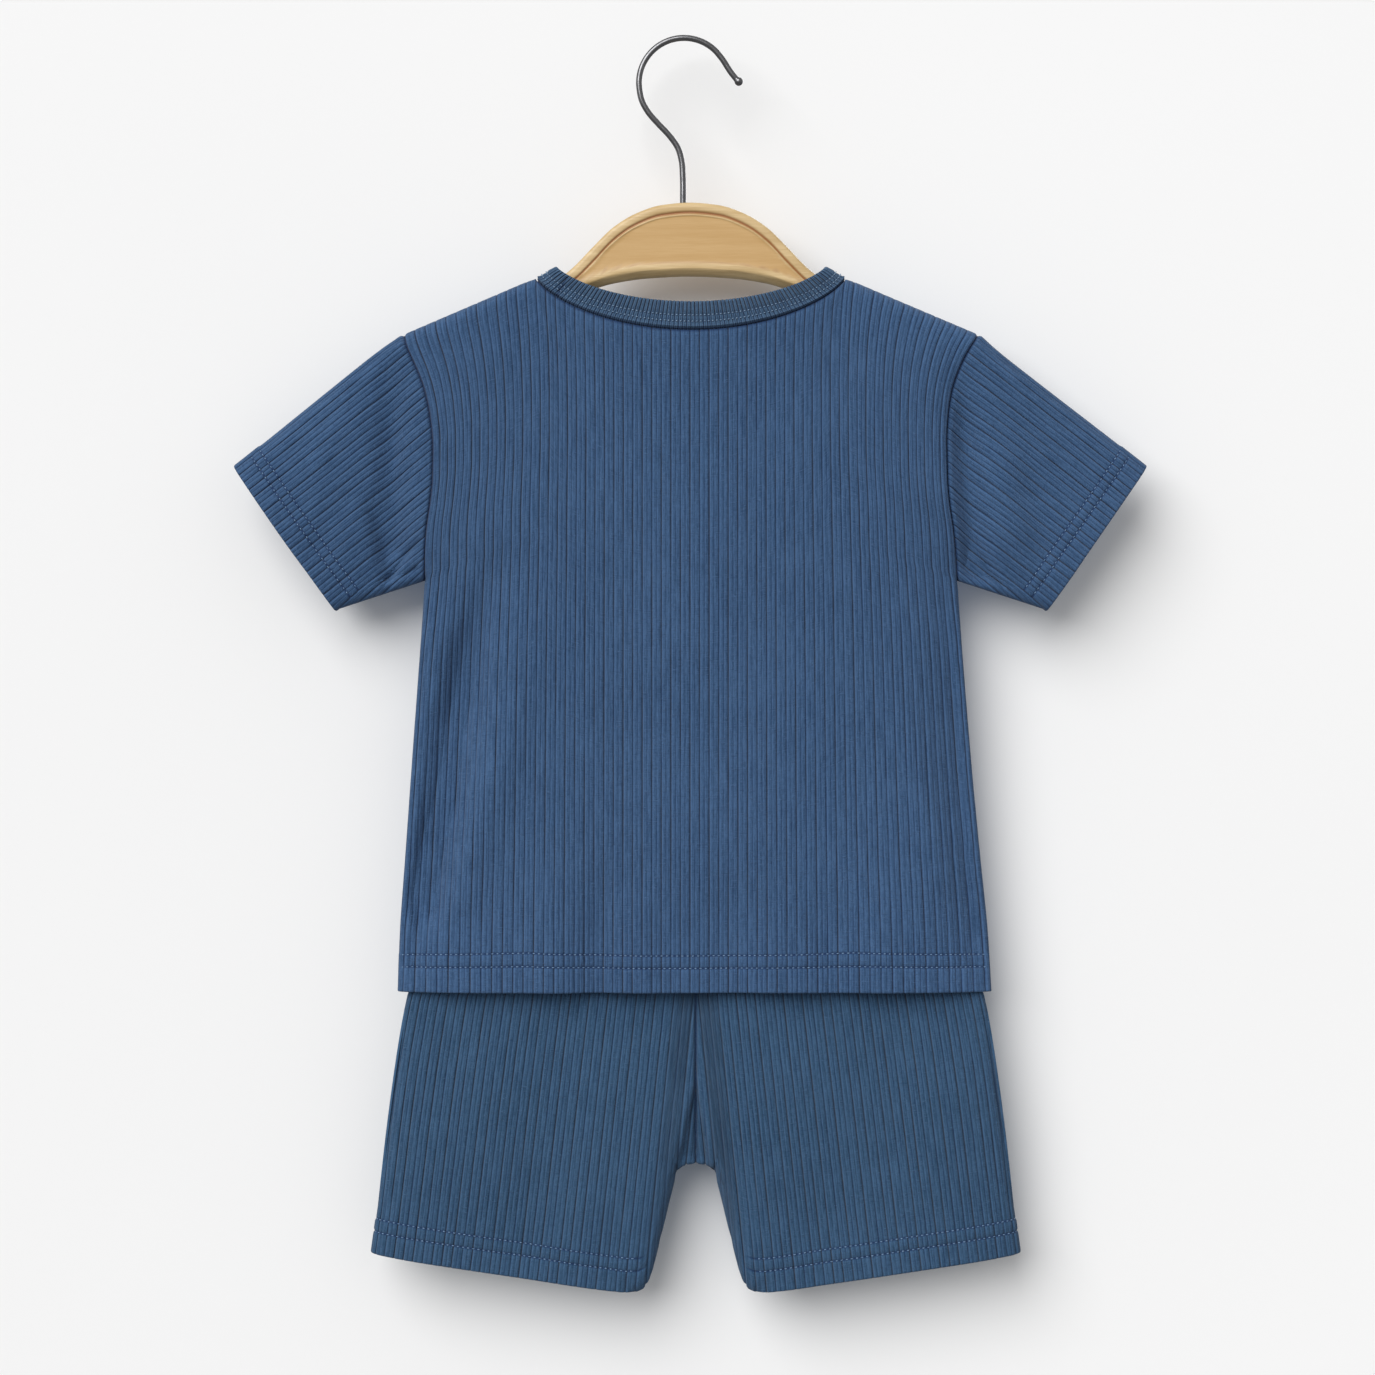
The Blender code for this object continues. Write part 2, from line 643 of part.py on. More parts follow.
def build_shirt_panel(name, face):
    """Build the shirt's back or front, hem at the bottom and shoulders at the top."""
    rows = list(SIDE_DROPS[::-1])
    step = SHIRT_HEM - HEM_DEPTH
    inner_rows = [SHIRT_HEM, step] + [row for row in rows if row < step]

    def thickness(points):
        in_hem = points[..., 2:] > step - 1.0
        return KNIT_WALL + np.where(in_hem, HEM_EXTRA, 0.0)

    count = 2 * BODY_RIBS
    seam = body_row(TIP_DROP, np.linspace(0.0, 1.0, count + 1), face)
    neck_corner = int(np.argmax(seam[:, 0] - SIDE_CENTRES[0] > -NECK_HALF))
    return build_panel(
        name,
        lambda row, columns: body_row(row, columns, face),
        lambda points: keep_body(points, face),
        rows,
        inner_rows,
        thickness,
        inner_columns(count, (neck_corner, count - neck_corner)),
        face,
        0.5,
    )


def build_shorts_panel(name, face, side):
    """Build one leg's back or front, from its hem to the waistband's seam."""
    return build_panel(
        name,
        lambda row, columns: shorts_row(row, columns, face, side),
        lambda points: keep_shorts(points, face, side),
        list(SHORTS_ROWS),
        list(SHORTS_ROWS),
        lambda points: KNIT_WALL,
        inner_columns(2 * LEG_RIBS, LEG_CORNERS),
        face,
        0.01,
    )


def sleeve_layer(columns, heights, side):
    """One layer of a sleeve all round: down its back half, then up its front half."""
    halves = []
    for face in (BACK, FRONT):
        rows = list(SLEEVE_ROWS)
        points = grid_of(lambda row, at: sleeve_row(row, at, face, side), rows, columns)
        normals = normals_of(
            lambda row, at: sleeve_row(row, at, face, side), rows, columns, 0.01, face
        )
        moved = keep_sleeve(points + normals * heights, face, side)
        folded = (points[..., 1:2] == 0.0) & (np.arange(3) == 1)
        halves.append(np.where(folded, 0.0, moved))
    return np.concatenate((halves[0], halves[1][:, -2:0:-1]), axis=1)


def build_sleeve(name, side):
    """Build a sleeve as one tube, joined along its underarm seam and open at both ends."""
    columns = np.linspace(0.0, 1.0, SLEEVE_COLUMNS + 1)
    kept = inner_columns(SLEEVE_COLUMNS, (CORNER_COLUMN,))
    few = columns[kept]
    ribs = rib_heights(SLEEVE_COLUMNS + 1)
    wall = Wall()
    outside = wall.lay(sleeve_layer(columns, ribs, side), closed=True)
    inside = wall.lay(sleeve_layer(few, -KNIT_WALL, side), closed=True)

    def around(index, at, corner):
        """The ring at the armhole, and the ring at the hem, which ends at the corner."""
        ring_at = np.concatenate((at, 2.0 - at[-2:0:-1], [2.0]))
        ring = np.append(index[0], index[0, 0])
        last = index.shape[1]
        hem = list(range(corner + 1)) + list(range(last - corner + 1, last)) + [0]
        hem_at = np.concatenate((at[: corner + 1], 2.0 - at[corner - 1 : 0 : -1], [2.0]))
        return ring, ring_at, index[-1, hem], hem_at

    ring, ring_at, hem, hem_at = around(outside, columns, CORNER_COLUMN)
    in_ring, in_ring_at, in_hem, in_hem_at = around(inside, few, kept.index(CORNER_COLUMN))
    wall.stitch(ring, in_ring, ring_at, in_ring_at)
    wall.stitch(hem, in_hem, hem_at, in_hem_at)
    return name, wall


def ring_points(ring, angle):
    """A closed line round the neck: 0 at the back's centre and pi at the front's centre."""
    turn = np.cos(angle)
    depth = np.where(turn > 0.0, ring.back_depth, ring.front_depth)
    power = np.where(turn > 0.0, BACK_NECK_POWER, FRONT_NECK_POWER)
    return ring.half * np.sin(angle), ring.base + depth * np.abs(turn) ** (2.0 * power)


def band_line(share, angle):
    """A line along the neckband, at a share of the way from its seam to its free edge."""
    seam_x, seam_drop = ring_points(BAND_SEAM, angle)
    edge_x, edge_drop = ring_points(BAND_EDGE, angle)
    face = -np.sign(np.cos(angle))
    lies_back = shirt_depth(seam_x, seam_drop, BACK)
    lies_front = shirt_depth(seam_x, seam_drop, FRONT)
    over_shoulder = BAND_SHOULDER_ROLL * np.sqrt(np.maximum(seam_drop - BAND_SEAM.base, 0.0))
    seam_y = lesser(np.where(face < 0.0, lies_back, lies_front) + BAND_PROUD, over_shoulder)
    edge_y = roll_over(edge_drop - BAND_EDGE.base, BAND_EDGE_DEPTH, BAND_EDGE_ROLL)
    x = seam_x + share * (edge_x - seam_x)
    y = face * (seam_y + share * (edge_y - seam_y))
    drop = seam_drop + share * (edge_drop - seam_drop)
    return np.stack((x + SHIRT_SIDE[0].centre, y, drop), axis=-1)


def build_neckband(name):
    """Build the neckband as a folded band with fine ribs round a plain inside."""
    fine = np.linspace(0.0, 2.0 * math.pi, BAND_MEASURE_STEPS + 1)
    middle = band_line(0.5, fine)
    run = np.concatenate(([0.0], np.cumsum(np.linalg.norm(np.diff(middle, axis=0), axis=-1))))
    ribs = round(run[-1] / BAND_RIB_PITCH / BAND_INNER_STEP) * BAND_INNER_STEP
    count = 2 * ribs

    def angles(step):
        return np.interp(np.arange(0, count, step) / count * run[-1], run, fine)

    def surface(share, angle, lift):
        points = band_line(share, angle)
        ahead = band_line(share, angle + BAND_ANGLE_STEP)
        behind = band_line(share, angle - BAND_ANGLE_STEP)
        above = band_line(min(share + BAND_SHARE_STEP, 1.0), angle)
        below = band_line(max(share - BAND_SHARE_STEP, 0.0), angle)
        normal = np.cross(ahead - behind, above - below)
        normal /= np.linalg.norm(normal, axis=-1, keepdims=True)
        upward = np.full(len(points), -BAND_OUTWARD_UP)
        outward = np.stack((points[:, 0] * BAND_OUTWARD_X, points[:, 1], upward), axis=-1)
        normal *= np.sign(np.sum(normal * outward, axis=-1, keepdims=True))
        return points + normal * lift

    close = angles(1)
    apart = angles(BAND_INNER_STEP)
    ribbed = np.where(np.arange(count) % 2 == 1, BAND_RIB_HEIGHT, 0.0)[:, None]
    outer = np.array([surface(0.0, close, ribbed), surface(BAND_TURN, close, ribbed)])
    plain = np.array(
        [
            surface(1.0, apart, -BAND_WALL / 2),
            surface(BAND_TURN, apart, -BAND_WALL),
            surface(0.0, apart, -BAND_WALL),
        ]
    )
    wall = Wall()
    outside, inside = wall.lay(outer, closed=True), wall.lay(plain, closed=True)
    at = np.append(np.arange(count), count)
    few_at = np.append(np.arange(0, count, BAND_INNER_STEP), count)
    for first, second in ((outside[-1], inside[0]), (outside[0], inside[-1])):
        wall.stitch(np.append(first, first[0]), np.append(second, second[0]), at, few_at)
    return name, wall


def flat_loop(half_width, half_depth, drop):
    """A flat loop with round ends, level at one drop."""
    turn = np.linspace(-math.pi / 2, math.pi / 2, ROUND_STEPS + 1)
    x = half_width - half_depth + half_depth * np.cos(turn)
    right = np.stack((x, half_depth * np.sin(turn), np.full(len(turn), drop)), axis=-1)
    return np.concatenate((right, right * (-1.0, -1.0, 1.0))) + (SHORTS_CENTRE, 0.0, 0.0)


def build_waistband(name):
    """Build the waistband as a flat ring above the shorts panels."""
    bottom = WAIST_SEAM - GAP
    inner_depth = WAISTBAND_HALF_DEPTH - WAISTBAND_WALL
    top_half, low_half = SHORTS_SIDE[0].half_width, SHORTS_SIDE[1].half_width
    section = np.array(
        [
            flat_loop(top_half, WAISTBAND_HALF_DEPTH, WAIST_TOP),
            flat_loop(low_half, WAISTBAND_HALF_DEPTH, bottom),
            flat_loop(low_half - WAISTBAND_WALL, inner_depth, bottom),
            flat_loop(top_half - WAISTBAND_WALL, inner_depth, WAIST_TOP),
            flat_loop(top_half, WAISTBAND_HALF_DEPTH, WAIST_TOP),
        ]
    )
    wall = Wall()
    wall.lay(section, closed=True)
    return name, wall


def curve_object(name, points, collection, radii=None, closed=False):
    """Make a poly curve object through points in the object's own metres."""
    curve = bpy.data.curves.new(name, "CURVE")
    spline = curve.splines.new("POLY")
    spline.points.add(len(points) - 1)
    for index, (x, y, z) in enumerate(points):
        spline.points[index].co = (x, y, z, 1.0)
        spline.points[index].radius = 1.0 if radii is None else radii[index]
    spline.use_cyclic_u = closed
    thing = bpy.data.objects.new(name, curve)
    collection.objects.link(thing)
    return thing


def mesh_from(thing, material, collection):
    """Replace a curve object by a mesh object with welded caps."""
    graph = bpy.context.evaluated_depsgraph_get()
    graph.update()
    mesh = bpy.data.meshes.new_from_object(thing.evaluated_get(graph))
    name, place = thing.name, thing.matrix_world.copy()
    bpy.data.objects.remove(thing)
    welded = bmesh.new()
    welded.from_mesh(mesh)
    bmesh.ops.remove_doubles(welded, verts=welded.verts, dist=1e-5)
    welded.to_mesh(mesh)
    welded.free()
    solid = add_object(name, mesh, material, collection)
    solid.matrix_world = place
    return solid


def rod_object(name, radius, top, bottom, x, collection, sides=ROD_SIDES):
    """Make an upright round bar between two drops."""
    mesh = bpy.data.meshes.new(name)
    bar = bmesh.new()
    bmesh.ops.create_cone(
        bar,
        cap_ends=True,
        segments=sides,
        radius1=radius * MM,
        radius2=radius * MM,
        depth=(bottom - top) * MM,
    )
    bar.to_mesh(mesh)
    bar.free()
    thing = bpy.data.objects.new(name, mesh)
    thing.location = ((x + CENTRE_X) * MM, 0.0, -(top + bottom) / 2 * MM)
    collection.objects.link(thing)
    return thing


def as_guide(thing):
    """Mark an object as a cutter or a guide, which is no piece of the set."""
    thing.hide_render = True
    thing.display_type = "WIRE"
    return thing


def combine(thing, other, operation):
    """Cut or join a solid with another one that stays as a guide."""
    modifier = thing.modifiers.new(other.name, "BOOLEAN")
    modifier.operation = operation
    modifier.object = as_guide(other)


def build_hanger(material, collection, guides):
    """Build the wooden hanger from its outline, bored for the hook and the drop rods."""
    half = [(row.half_width, row.drop) for row in HANGER_TOP + HANGER_BOTTOM]
    outline = half + [(-across, drop) for across, drop in half[-2:0:-1]]
    points = [(across * MM, -drop * MM, 0.0) for across, drop in outline]
    thing = curve_object("hanger_body", points, collection, closed=True)
    thing.data.dimensions = "2D"
    thing.data.fill_mode = "BOTH"
    thing.data.extrude = (HANGER_THICKNESS / 2 - HANGER_BEVEL) * MM
    thing.data.bevel_depth = HANGER_BEVEL * MM
    thing.data.bevel_resolution = 1
    thing.data.offset = -HANGER_BEVEL * MM
    thing.rotation_euler = (math.pi / 2, 0.0, 0.0)
    thing.location = (CENTRE_X * MM, 0.0, 0.0)
    bpy.context.view_layer.update()
    hanger = mesh_from(thing, material, collection)
    shank_x = HOOK_THROAT[-1].x - CENTRE_X
    shank_end = HOOK_THROAT[-1].drop + GAP
    bores = [("hook_bore", WIRE_RADIUS, HOOK_BORE_MOUTH, shank_end, shank_x)]
    for side, place in ((-1.0, "left"), (1.0, "right")):
        top = ROD_TOP - GAP
        x = side * CLIP_HALF_SPAN
        bores.append((f"rod_bore_{place}", ROD_RADIUS, top, ROD_BORE_MOUTH, x))
    for name, radius, top, bottom, x in bores:
        cutter = rod_object(name, radius + BORE_CLEARANCE, top, bottom, x, guides, BORE_SIDES)
        combine(hanger, cutter, "DIFFERENCE")
    return hanger


def smooth_route(points, steps):
    """Points along a smooth curve through a route's own points."""
    padded = [2 * points[0] - points[1], *points, 2 * points[-1] - points[-2]]
    route = []
    for before, start, end, after in zip(padded, padded[1:], padded[2:], padded[3:]):
        for share in np.arange(steps) / steps:
            route.append(
                0.5
                * (
                    2 * start
                    + (end - before) * share
                    + (2 * before - 5 * start + 4 * end - after) * share**2
                    + (3 * start - before - 3 * end + after) * share**3
                )
            )
    return route + [points[-1]]


def build_hook(material, collection):
    """Build the wire hook: a swelled tip, a round bend, a swept throat and the shank."""
    tip = [np.array(point) for point in HOOK_TIP]
    swing = np.radians(np.linspace(BEND_START, BEND_END, BEND_STEPS))
    centre_drop = BEND_RADIUS - WIRE_RADIUS
    bend = [
        np.array((BEND_RADIUS * math.sin(turn), centre_drop - BEND_RADIUS * math.cos(turn)))
        for turn in swing
    ]
    throat = smooth_route([np.array(point) for point in HOOK_THROAT], 2)
    route = tip + bend + throat
    radii = list(TIP_SWELL) + [1.0] * (len(route) - len(TIP_SWELL))
    points = [(x * MM, 0.0, -drop * MM) for x, drop in route]
    thing = curve_object("hanger_hook", points, collection, radii=radii)
    thing.data.dimensions = "3D"
    thing.data.bevel_depth = WIRE_RADIUS * MM
    thing.data.bevel_resolution = 2
    thing.data.use_fill_caps = True
    return mesh_from(thing, material, collection)


def build_drop_clip(place, side, material, collection, guides):
    """Build a rod from the hanger's arm with a clip that grips the waistband."""
    grip = WAISTBAND_HALF_DEPTH + GAP
    out = grip + CLIP_JAW
    profile = (
        (-out, CLIP_TOP),
        (out, CLIP_TOP),
        (out, CLIP_JAW_END),
        (grip, CLIP_JAW_END),
        (grip, CLIP_ROOF),
        (-grip, CLIP_ROOF),
        (-grip, CLIP_JAW_END),
        (-out, CLIP_JAW_END),
    )
    mesh = bpy.data.meshes.new(f"drop_clip_{place}")
    clip = bmesh.new()
    x = side * CLIP_HALF_SPAN + CENTRE_X
    start = (x - CLIP_WIDTH / 2) * MM
    face = clip.faces.new([clip.verts.new((start, y * MM, -drop * MM)) for y, drop in profile])
    swept = bmesh.ops.extrude_face_region(clip, geom=[face])
    moved = [item for item in swept["geom"] if isinstance(item, bmesh.types.BMVert)]
    bmesh.ops.translate(clip, verts=moved, vec=(CLIP_WIDTH * MM, 0.0, 0.0))
    bmesh.ops.recalc_face_normals(clip, faces=clip.faces)
    clip.to_mesh(mesh)
    clip.free()
    thing = add_object(f"drop_clip_{place}", mesh, material, collection)
    rod = rod_object(f"drop_rod_{place}", ROD_RADIUS, ROD_TOP, ROD_END, side * CLIP_HALF_SPAN, guides)
    combine(thing, rod, "UNION")
    return thing


def clear_scene():
    """Remove every object that is already in the file."""
    for thing in list(bpy.data.objects):
        bpy.data.objects.remove(thing)


def new_collection(name):
    """Make a collection in the scene."""
    collection = bpy.data.collections.new(name)
    bpy.context.scene.collection.children.link(collection)
    return collection


def main():
    """Build the whole set."""
    clear_scene()
    pieces = new_collection("tshirt_and_shorts_set")
    guides = new_collection("tshirt_and_shorts_cutters")
    cloth = {
        "shirt_back": srgb(58, 84, 118),
        "shirt_front": srgb(57, 83, 117),
        "sleeve_left": srgb(57, 83, 118),
        "sleeve_right": srgb(56, 82, 116),
        "neckband": srgb(55, 80, 113),
        "shorts_back_left": srgb(54, 81, 109),
        "shorts_back_right": srgb(52, 79, 107),
        "shorts_front_left": srgb(53, 80, 108),
        "shorts_front_right": srgb(51, 78, 106),
        "shorts_waistband": srgb(53, 79, 108),
    }
    walls = [
        build_shirt_panel("shirt_back", BACK),
        build_shirt_panel("shirt_front", FRONT),
        build_sleeve("sleeve_left", -1.0),
        build_sleeve("sleeve_right", 1.0),
        build_neckband("neckband"),
        build_shorts_panel("shorts_back_left", BACK, -1.0),
        build_shorts_panel("shorts_back_right", BACK, 1.0),
        build_shorts_panel("shorts_front_left", FRONT, -1.0),
        build_shorts_panel("shorts_front_right", FRONT, 1.0),
        build_waistband("shorts_waistband"),
    ]
    for name, wall in walls:
        wall.make(name, make_material(name, cloth[name], 0.9), pieces)
    build_hanger(make_material("hanger_body", srgb(208, 171, 118), 0.45), pieces, guides)
    steel = srgb(90, 90, 92)
    build_hook(make_material("hanger_hook", steel, 0.3, 1.0), pieces)
    for place, side in (("left", -1.0), ("right", 1.0)):
        finish = make_material(f"drop_clip_{place}", steel, 0.35, 1.0)
        build_drop_clip(place, side, finish, pieces, guides)


main()
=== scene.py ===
"""Dressed model of a toddler's T-shirt and shorts in wide-rib knit, hung on a wooden hanger.

Sizes are in millimetres. A height is a drop below the origin, which is the underside of the
hook's top bend, and a width is measured from the garment's centre line. +X is the viewer's
right, +Y is away from the viewer, and the garment's back faces the viewer.
"""

from __future__ import annotations

import logging
import math
from dataclasses import dataclass, field
from enum import Enum

import bpy
import numpy as np
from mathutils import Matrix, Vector

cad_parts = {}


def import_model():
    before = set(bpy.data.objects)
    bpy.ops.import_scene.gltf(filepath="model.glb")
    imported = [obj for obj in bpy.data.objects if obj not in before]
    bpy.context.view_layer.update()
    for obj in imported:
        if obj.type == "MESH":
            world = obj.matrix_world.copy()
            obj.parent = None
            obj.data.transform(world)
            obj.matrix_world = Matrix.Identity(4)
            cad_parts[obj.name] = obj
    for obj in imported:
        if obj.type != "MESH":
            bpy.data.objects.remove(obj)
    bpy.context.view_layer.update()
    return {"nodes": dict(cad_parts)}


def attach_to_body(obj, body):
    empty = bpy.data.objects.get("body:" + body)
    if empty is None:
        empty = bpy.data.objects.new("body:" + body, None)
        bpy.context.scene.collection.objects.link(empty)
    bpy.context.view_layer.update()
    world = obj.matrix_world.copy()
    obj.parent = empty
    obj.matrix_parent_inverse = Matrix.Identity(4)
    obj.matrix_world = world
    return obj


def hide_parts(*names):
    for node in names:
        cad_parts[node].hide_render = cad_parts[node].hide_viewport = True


LOG = logging.getLogger("tshirt_and_shorts_set")

MM = 0.001
BODY = "root"
TINY = 1e-9
SNAP = 1e-6

# Where the garment's centre line lies, and the gap that stands for a sewn seam
CENTRE_X = 3.2
GAP = 0.05

# The picture's width and middle, as a width and a drop
PICTURE_WIDTH = 724.6
PICTURE_MIDDLE = (1.84, 340.7)

# The wide rib, and where the columns of one rib lie across it
RIB_PITCH = 5.0
RIB_HEIGHT = 0.8
GROOVE_WIDTH = 0.45
RIB_CROWN = 0.04
RIB_OFFSETS = (0.0, 0.32, 0.7, 1.3, 2.5, 3.7, 4.3, 4.68)

# How a groove opens along its length: wave length, and phase by number and at the start
GROOVE_WAVES = ((31.0, 2.4, 0.0), (14.0, 4.7, 1.1))
GROOVE_STEP = 2.9
GROOVE_OPEN = 0.66
GROOVE_SWING = 0.22
GROOVE_LEAST = 0.25

# The cloth's wall, and the rows and columns of its outside that its plain inside shares
WALL = 1.1
HEM_EXTRA = 0.8
INSIDE = (slice(None, None, 3), slice(None, None, len(RIB_OFFSETS)))

# A turned hem is raised up to its last stitches and rolls over at its edge
HEM_RAISED = 0.45
HEM_STEP = 1.6
HEM_ROLL = 1.1
HEM_ROLL_DEPTH = 0.9

# Stitches and seams pull the cloth in, and the finishes paint shade along them
DENT_WIDTH = 0.72
DENT_DEPTH = 0.6
DENT_SHADE = 0.95
SEAM_DEPTH = 0.8
THREAD_HEIGHT = 0.55
BESIDE_STITCHES = np.array((-0.5, 0.0, 0.5))

# How far the lit edge's painted highlight lies from its groove, in grooves, and how far loops lean, in
# courses
LIT_SHIFT = 1.5
LOOP_LEAN = 0.6

# The mottle's noise, and the range of it that spreads to the whole mask
MOTTLE_ROUGHNESS = 0.6
MOTTLE_RANGE = (0.3, 0.7)

# Where along its path a crease starts and where it has its full depth
CREASE_GROWTH = (-0.15, 0.4)

# How finely a row is measured before its ribs are spaced along it
MEASURE_STEPS = 601


class Face(Enum):
    """The garment's two faces, by the sign of their Y."""

    BACK = -1.0
    FRONT = 1.0


class Hand(Enum):
    """The viewer's left and right, by the sign of X."""

    LEFT = -1.0
    RIGHT = 1.0


class Coil(Enum):
    """Whether a grid's columns close into a ring."""

    OPEN = 0
    RING = 1


def hermite(
    share: np.ndarray, span: np.ndarray, values: np.ndarray, slopes: np.ndarray, cell: np.ndarray
) -> np.ndarray:
    """Cubic pieces that meet the values and slopes at both their ends.

    Args:
        share: Share of the way along its piece, for each point.
        span: Length of its piece, for each point.
        values: Values at the pieces' ends.
        slopes: Slopes at the pieces' ends.
        cell: Number of its piece, for each point.

    Returns:
        A value for each point.
    """
    square, cube = share**2, share**3
    return (
        (2 * cube - 3 * square + 1) * values[cell]
        + (cube - 2 * square + share) * span * slopes[cell]
        + (3 * square - 2 * cube) * values[cell + 1]
        + (cube - square) * span * slopes[cell + 1]
    )


def piece_numbers(at: np.ndarray, known: np.ndarray) -> np.ndarray:
    """Number of the piece between two known positions in which each position lies."""
    return np.clip(np.searchsorted(known, at, side="right") - 1, 0, len(known) - 2)


def smooth_table(at: np.ndarray, known: np.ndarray, values: np.ndarray) -> np.ndarray:
    """Read a table smoothly, by monotone cubic pieces between its points.

    Args:
        at: Where to read it.
        known: Rising positions of the table's points.
        values: The table's values.

    Returns:
        Values with continuous slope that never overshoot the table.
    """
    known, values = np.asarray(known, float), np.asarray(values, float)
    step = np.diff(known)
    slope = np.diff(values) / step
    tangent = np.concatenate((slope[:1], np.zeros(len(slope) - 1), slope[-1:]))
    product, total = slope[:-1] * slope[1:], slope[:-1] + slope[1:]
    tangent[1:-1] = np.where(product > 0.0, 2.0 * product / np.where(total == 0.0, 1.0, total), 0.0)
    at = np.clip(at, known[0], known[-1])
    cell = piece_numbers(at, known)
    return hermite((at - known[cell]) / step[cell], step[cell], values, tangent, cell)


def mirrored_table(at: np.ndarray, known: tuple[float, ...], values: tuple[float, ...]) -> np.ndarray:
    """Read a table given for one side of zero smoothly on both sides."""
    both = (*(-place for place in known[:0:-1]), *known)
    return smooth_table(at, both, (*values[:0:-1], *values))


def smooth_step(at: np.ndarray, low: float, high: float) -> np.ndarray:
    """Rise from 0 at low to 1 at high as 3s^2 - 2s^3."""
    share = np.clip((at - low) / (high - low), 0.0, 1.0)
    return share * share * (3.0 - 2.0 * share)


def bell(at: np.ndarray, width: float) -> np.ndarray:
    """A soft bump of height 1 at zero: exp(-(at / width)^2)."""
    return np.exp(-((at / width) ** 2))


def distance_to(path: np.ndarray, across: np.ndarray, drop: np.ndarray) -> np.ndarray:
    """Distance from points to an open path, as the least over its straight pieces.

    Args:
        path: Rows of a width and a drop.
        across: Widths of the points.
        drop: Drops of the points.

    Returns:
        Distances, in the shape of the points.
    """
    best = np.full(np.broadcast(across, drop).shape, np.inf)
    for (a0, d0), (a1, d1) in zip(path[:-1], path[1:]):
        run, fall = a1 - a0, d1 - d0
        share = np.clip(((across - a0) * run + (drop - d0) * fall) / (run * run + fall * fall), 0.0, 1.0)
        best = np.minimum(best, np.hypot(across - a0 - share * run, drop - d0 - share * fall))
    return best


def lesser(first: np.ndarray, second: np.ndarray) -> np.ndarray:
    """Smooth minimum of two depths: the fourth-power mean of their inverses, turned over."""
    floor = 1e-3
    return (np.maximum(first, floor) ** -4 + np.maximum(second, floor) ** -4) ** -0.25


def run_along(points: np.ndarray) -> np.ndarray:
    """Distance run along each line of points, from 0 at its start."""
    steps = np.linalg.norm(np.diff(points, axis=-2), axis=-1)
    return np.concatenate((np.zeros_like(steps[..., :1]), np.cumsum(steps, axis=-1)), axis=-1)


def unit(vectors: np.ndarray) -> np.ndarray:
    """Vectors brought to unit length."""
    return vectors / np.maximum(np.linalg.norm(vectors, axis=-1, keepdims=True), TINY)


def rows_interp(wanted: np.ndarray, known: np.ndarray, values: np.ndarray) -> np.ndarray:
    """Read each row's own table at that row's wanted positions."""
    return np.array([np.interp(w, k, values) for w, k in zip(wanted, known)])


@dataclass(frozen=True)
class Rows:
    """Rows between two lines: some at set distances from either line, the rest even between."""

    share: np.ndarray
    near: np.ndarray
    far: np.ndarray
    room: float = 1.2

    @classmethod
    def spaced(cls, near: tuple[float, ...], far: tuple[float, ...], middle: int) -> "Rows":
        """Rows at rising distances from the first line, even ones, then at falling distances.

        Args:
            near: Distances from the first line.
            far: Distances from the last line.
            middle: Number of even rows between.

        Returns:
            The rows.
        """
        even = np.linspace(0.0, 1.0, middle + 2)[1:-1]
        share = np.concatenate((np.zeros(len(near)), even, np.ones(len(far))))
        return cls(
            share[:, None],
            np.concatenate((near, np.full(middle + len(far), near[-1])))[:, None],
            np.concatenate((np.full(len(near) + middle, far[0]), far))[:, None],
        )

    @classmethod
    def from_last(cls, distances: tuple[float, ...]) -> "Rows":
        """Rows at set distances from the last line."""
        far = np.array(distances)[:, None]
        return cls(np.ones_like(far), np.zeros_like(far), far)

    def places(self, first: np.ndarray, last: np.ndarray) -> np.ndarray:
        """Positions of the rows along each column, drawn closer where a column is short.

        Args:
            first: Each column's position at the first line.
            last: Its position at the last line.

        Returns:
            A grid of positions, rows first.
        """
        length = np.abs(last - first)
        scale = np.minimum(1.0, length / (self.room * (self.near.max() + self.far.max())))
        near, far = self.near * scale, self.far * scale
        return first + np.sign(last - first) * (near + self.share * (length - near - far))


def rib_columns(ribs: int) -> np.ndarray:
    """Columns across a number of ribs, close together at each groove.

    Args:
        ribs: Number of ribs.

    Returns:
        Places from 0 to 1.
    """
    offsets = np.array(RIB_OFFSETS) / RIB_PITCH
    columns = (np.arange(ribs)[:, None] + offsets[None, :]).ravel() / ribs
    return np.append(columns, 1.0)


def knit_ribs(columns: np.ndarray, ribs: int, along: np.ndarray) -> np.ndarray:
    """Height of a panel's wide ribs, whose grooves open and close along their length.

    A groove is open by 0.66 + 0.22 s, where s is the sum of three sines: two of the distance
    along it, out of step from groove to groove, and one of its number.

    Args:
        columns: Columns, one rib wide for each whole share of the ribs.
        ribs: Number of ribs in a whole panel.
        along: Distance along the ribs, for each point.

    Returns:
        Heights, in the shape of the distances.
    """
    number = np.round(columns * ribs)[None, :]
    wave = np.sin(GROOVE_STEP * number) + sum(
        np.sin(along / length + turn * number + start) for length, turn, start in GROOVE_WAVES
    )
    full = rib_profile(columns * ribs * RIB_PITCH, RIB_PITCH, 1.0, GROOVE_WIDTH)
    floor = RIB_HEIGHT * (1.0 - full)[None, :]
    return RIB_HEIGHT - floor * np.clip(GROOVE_OPEN + GROOVE_SWING * wave, GROOVE_LEAST, 1.0)


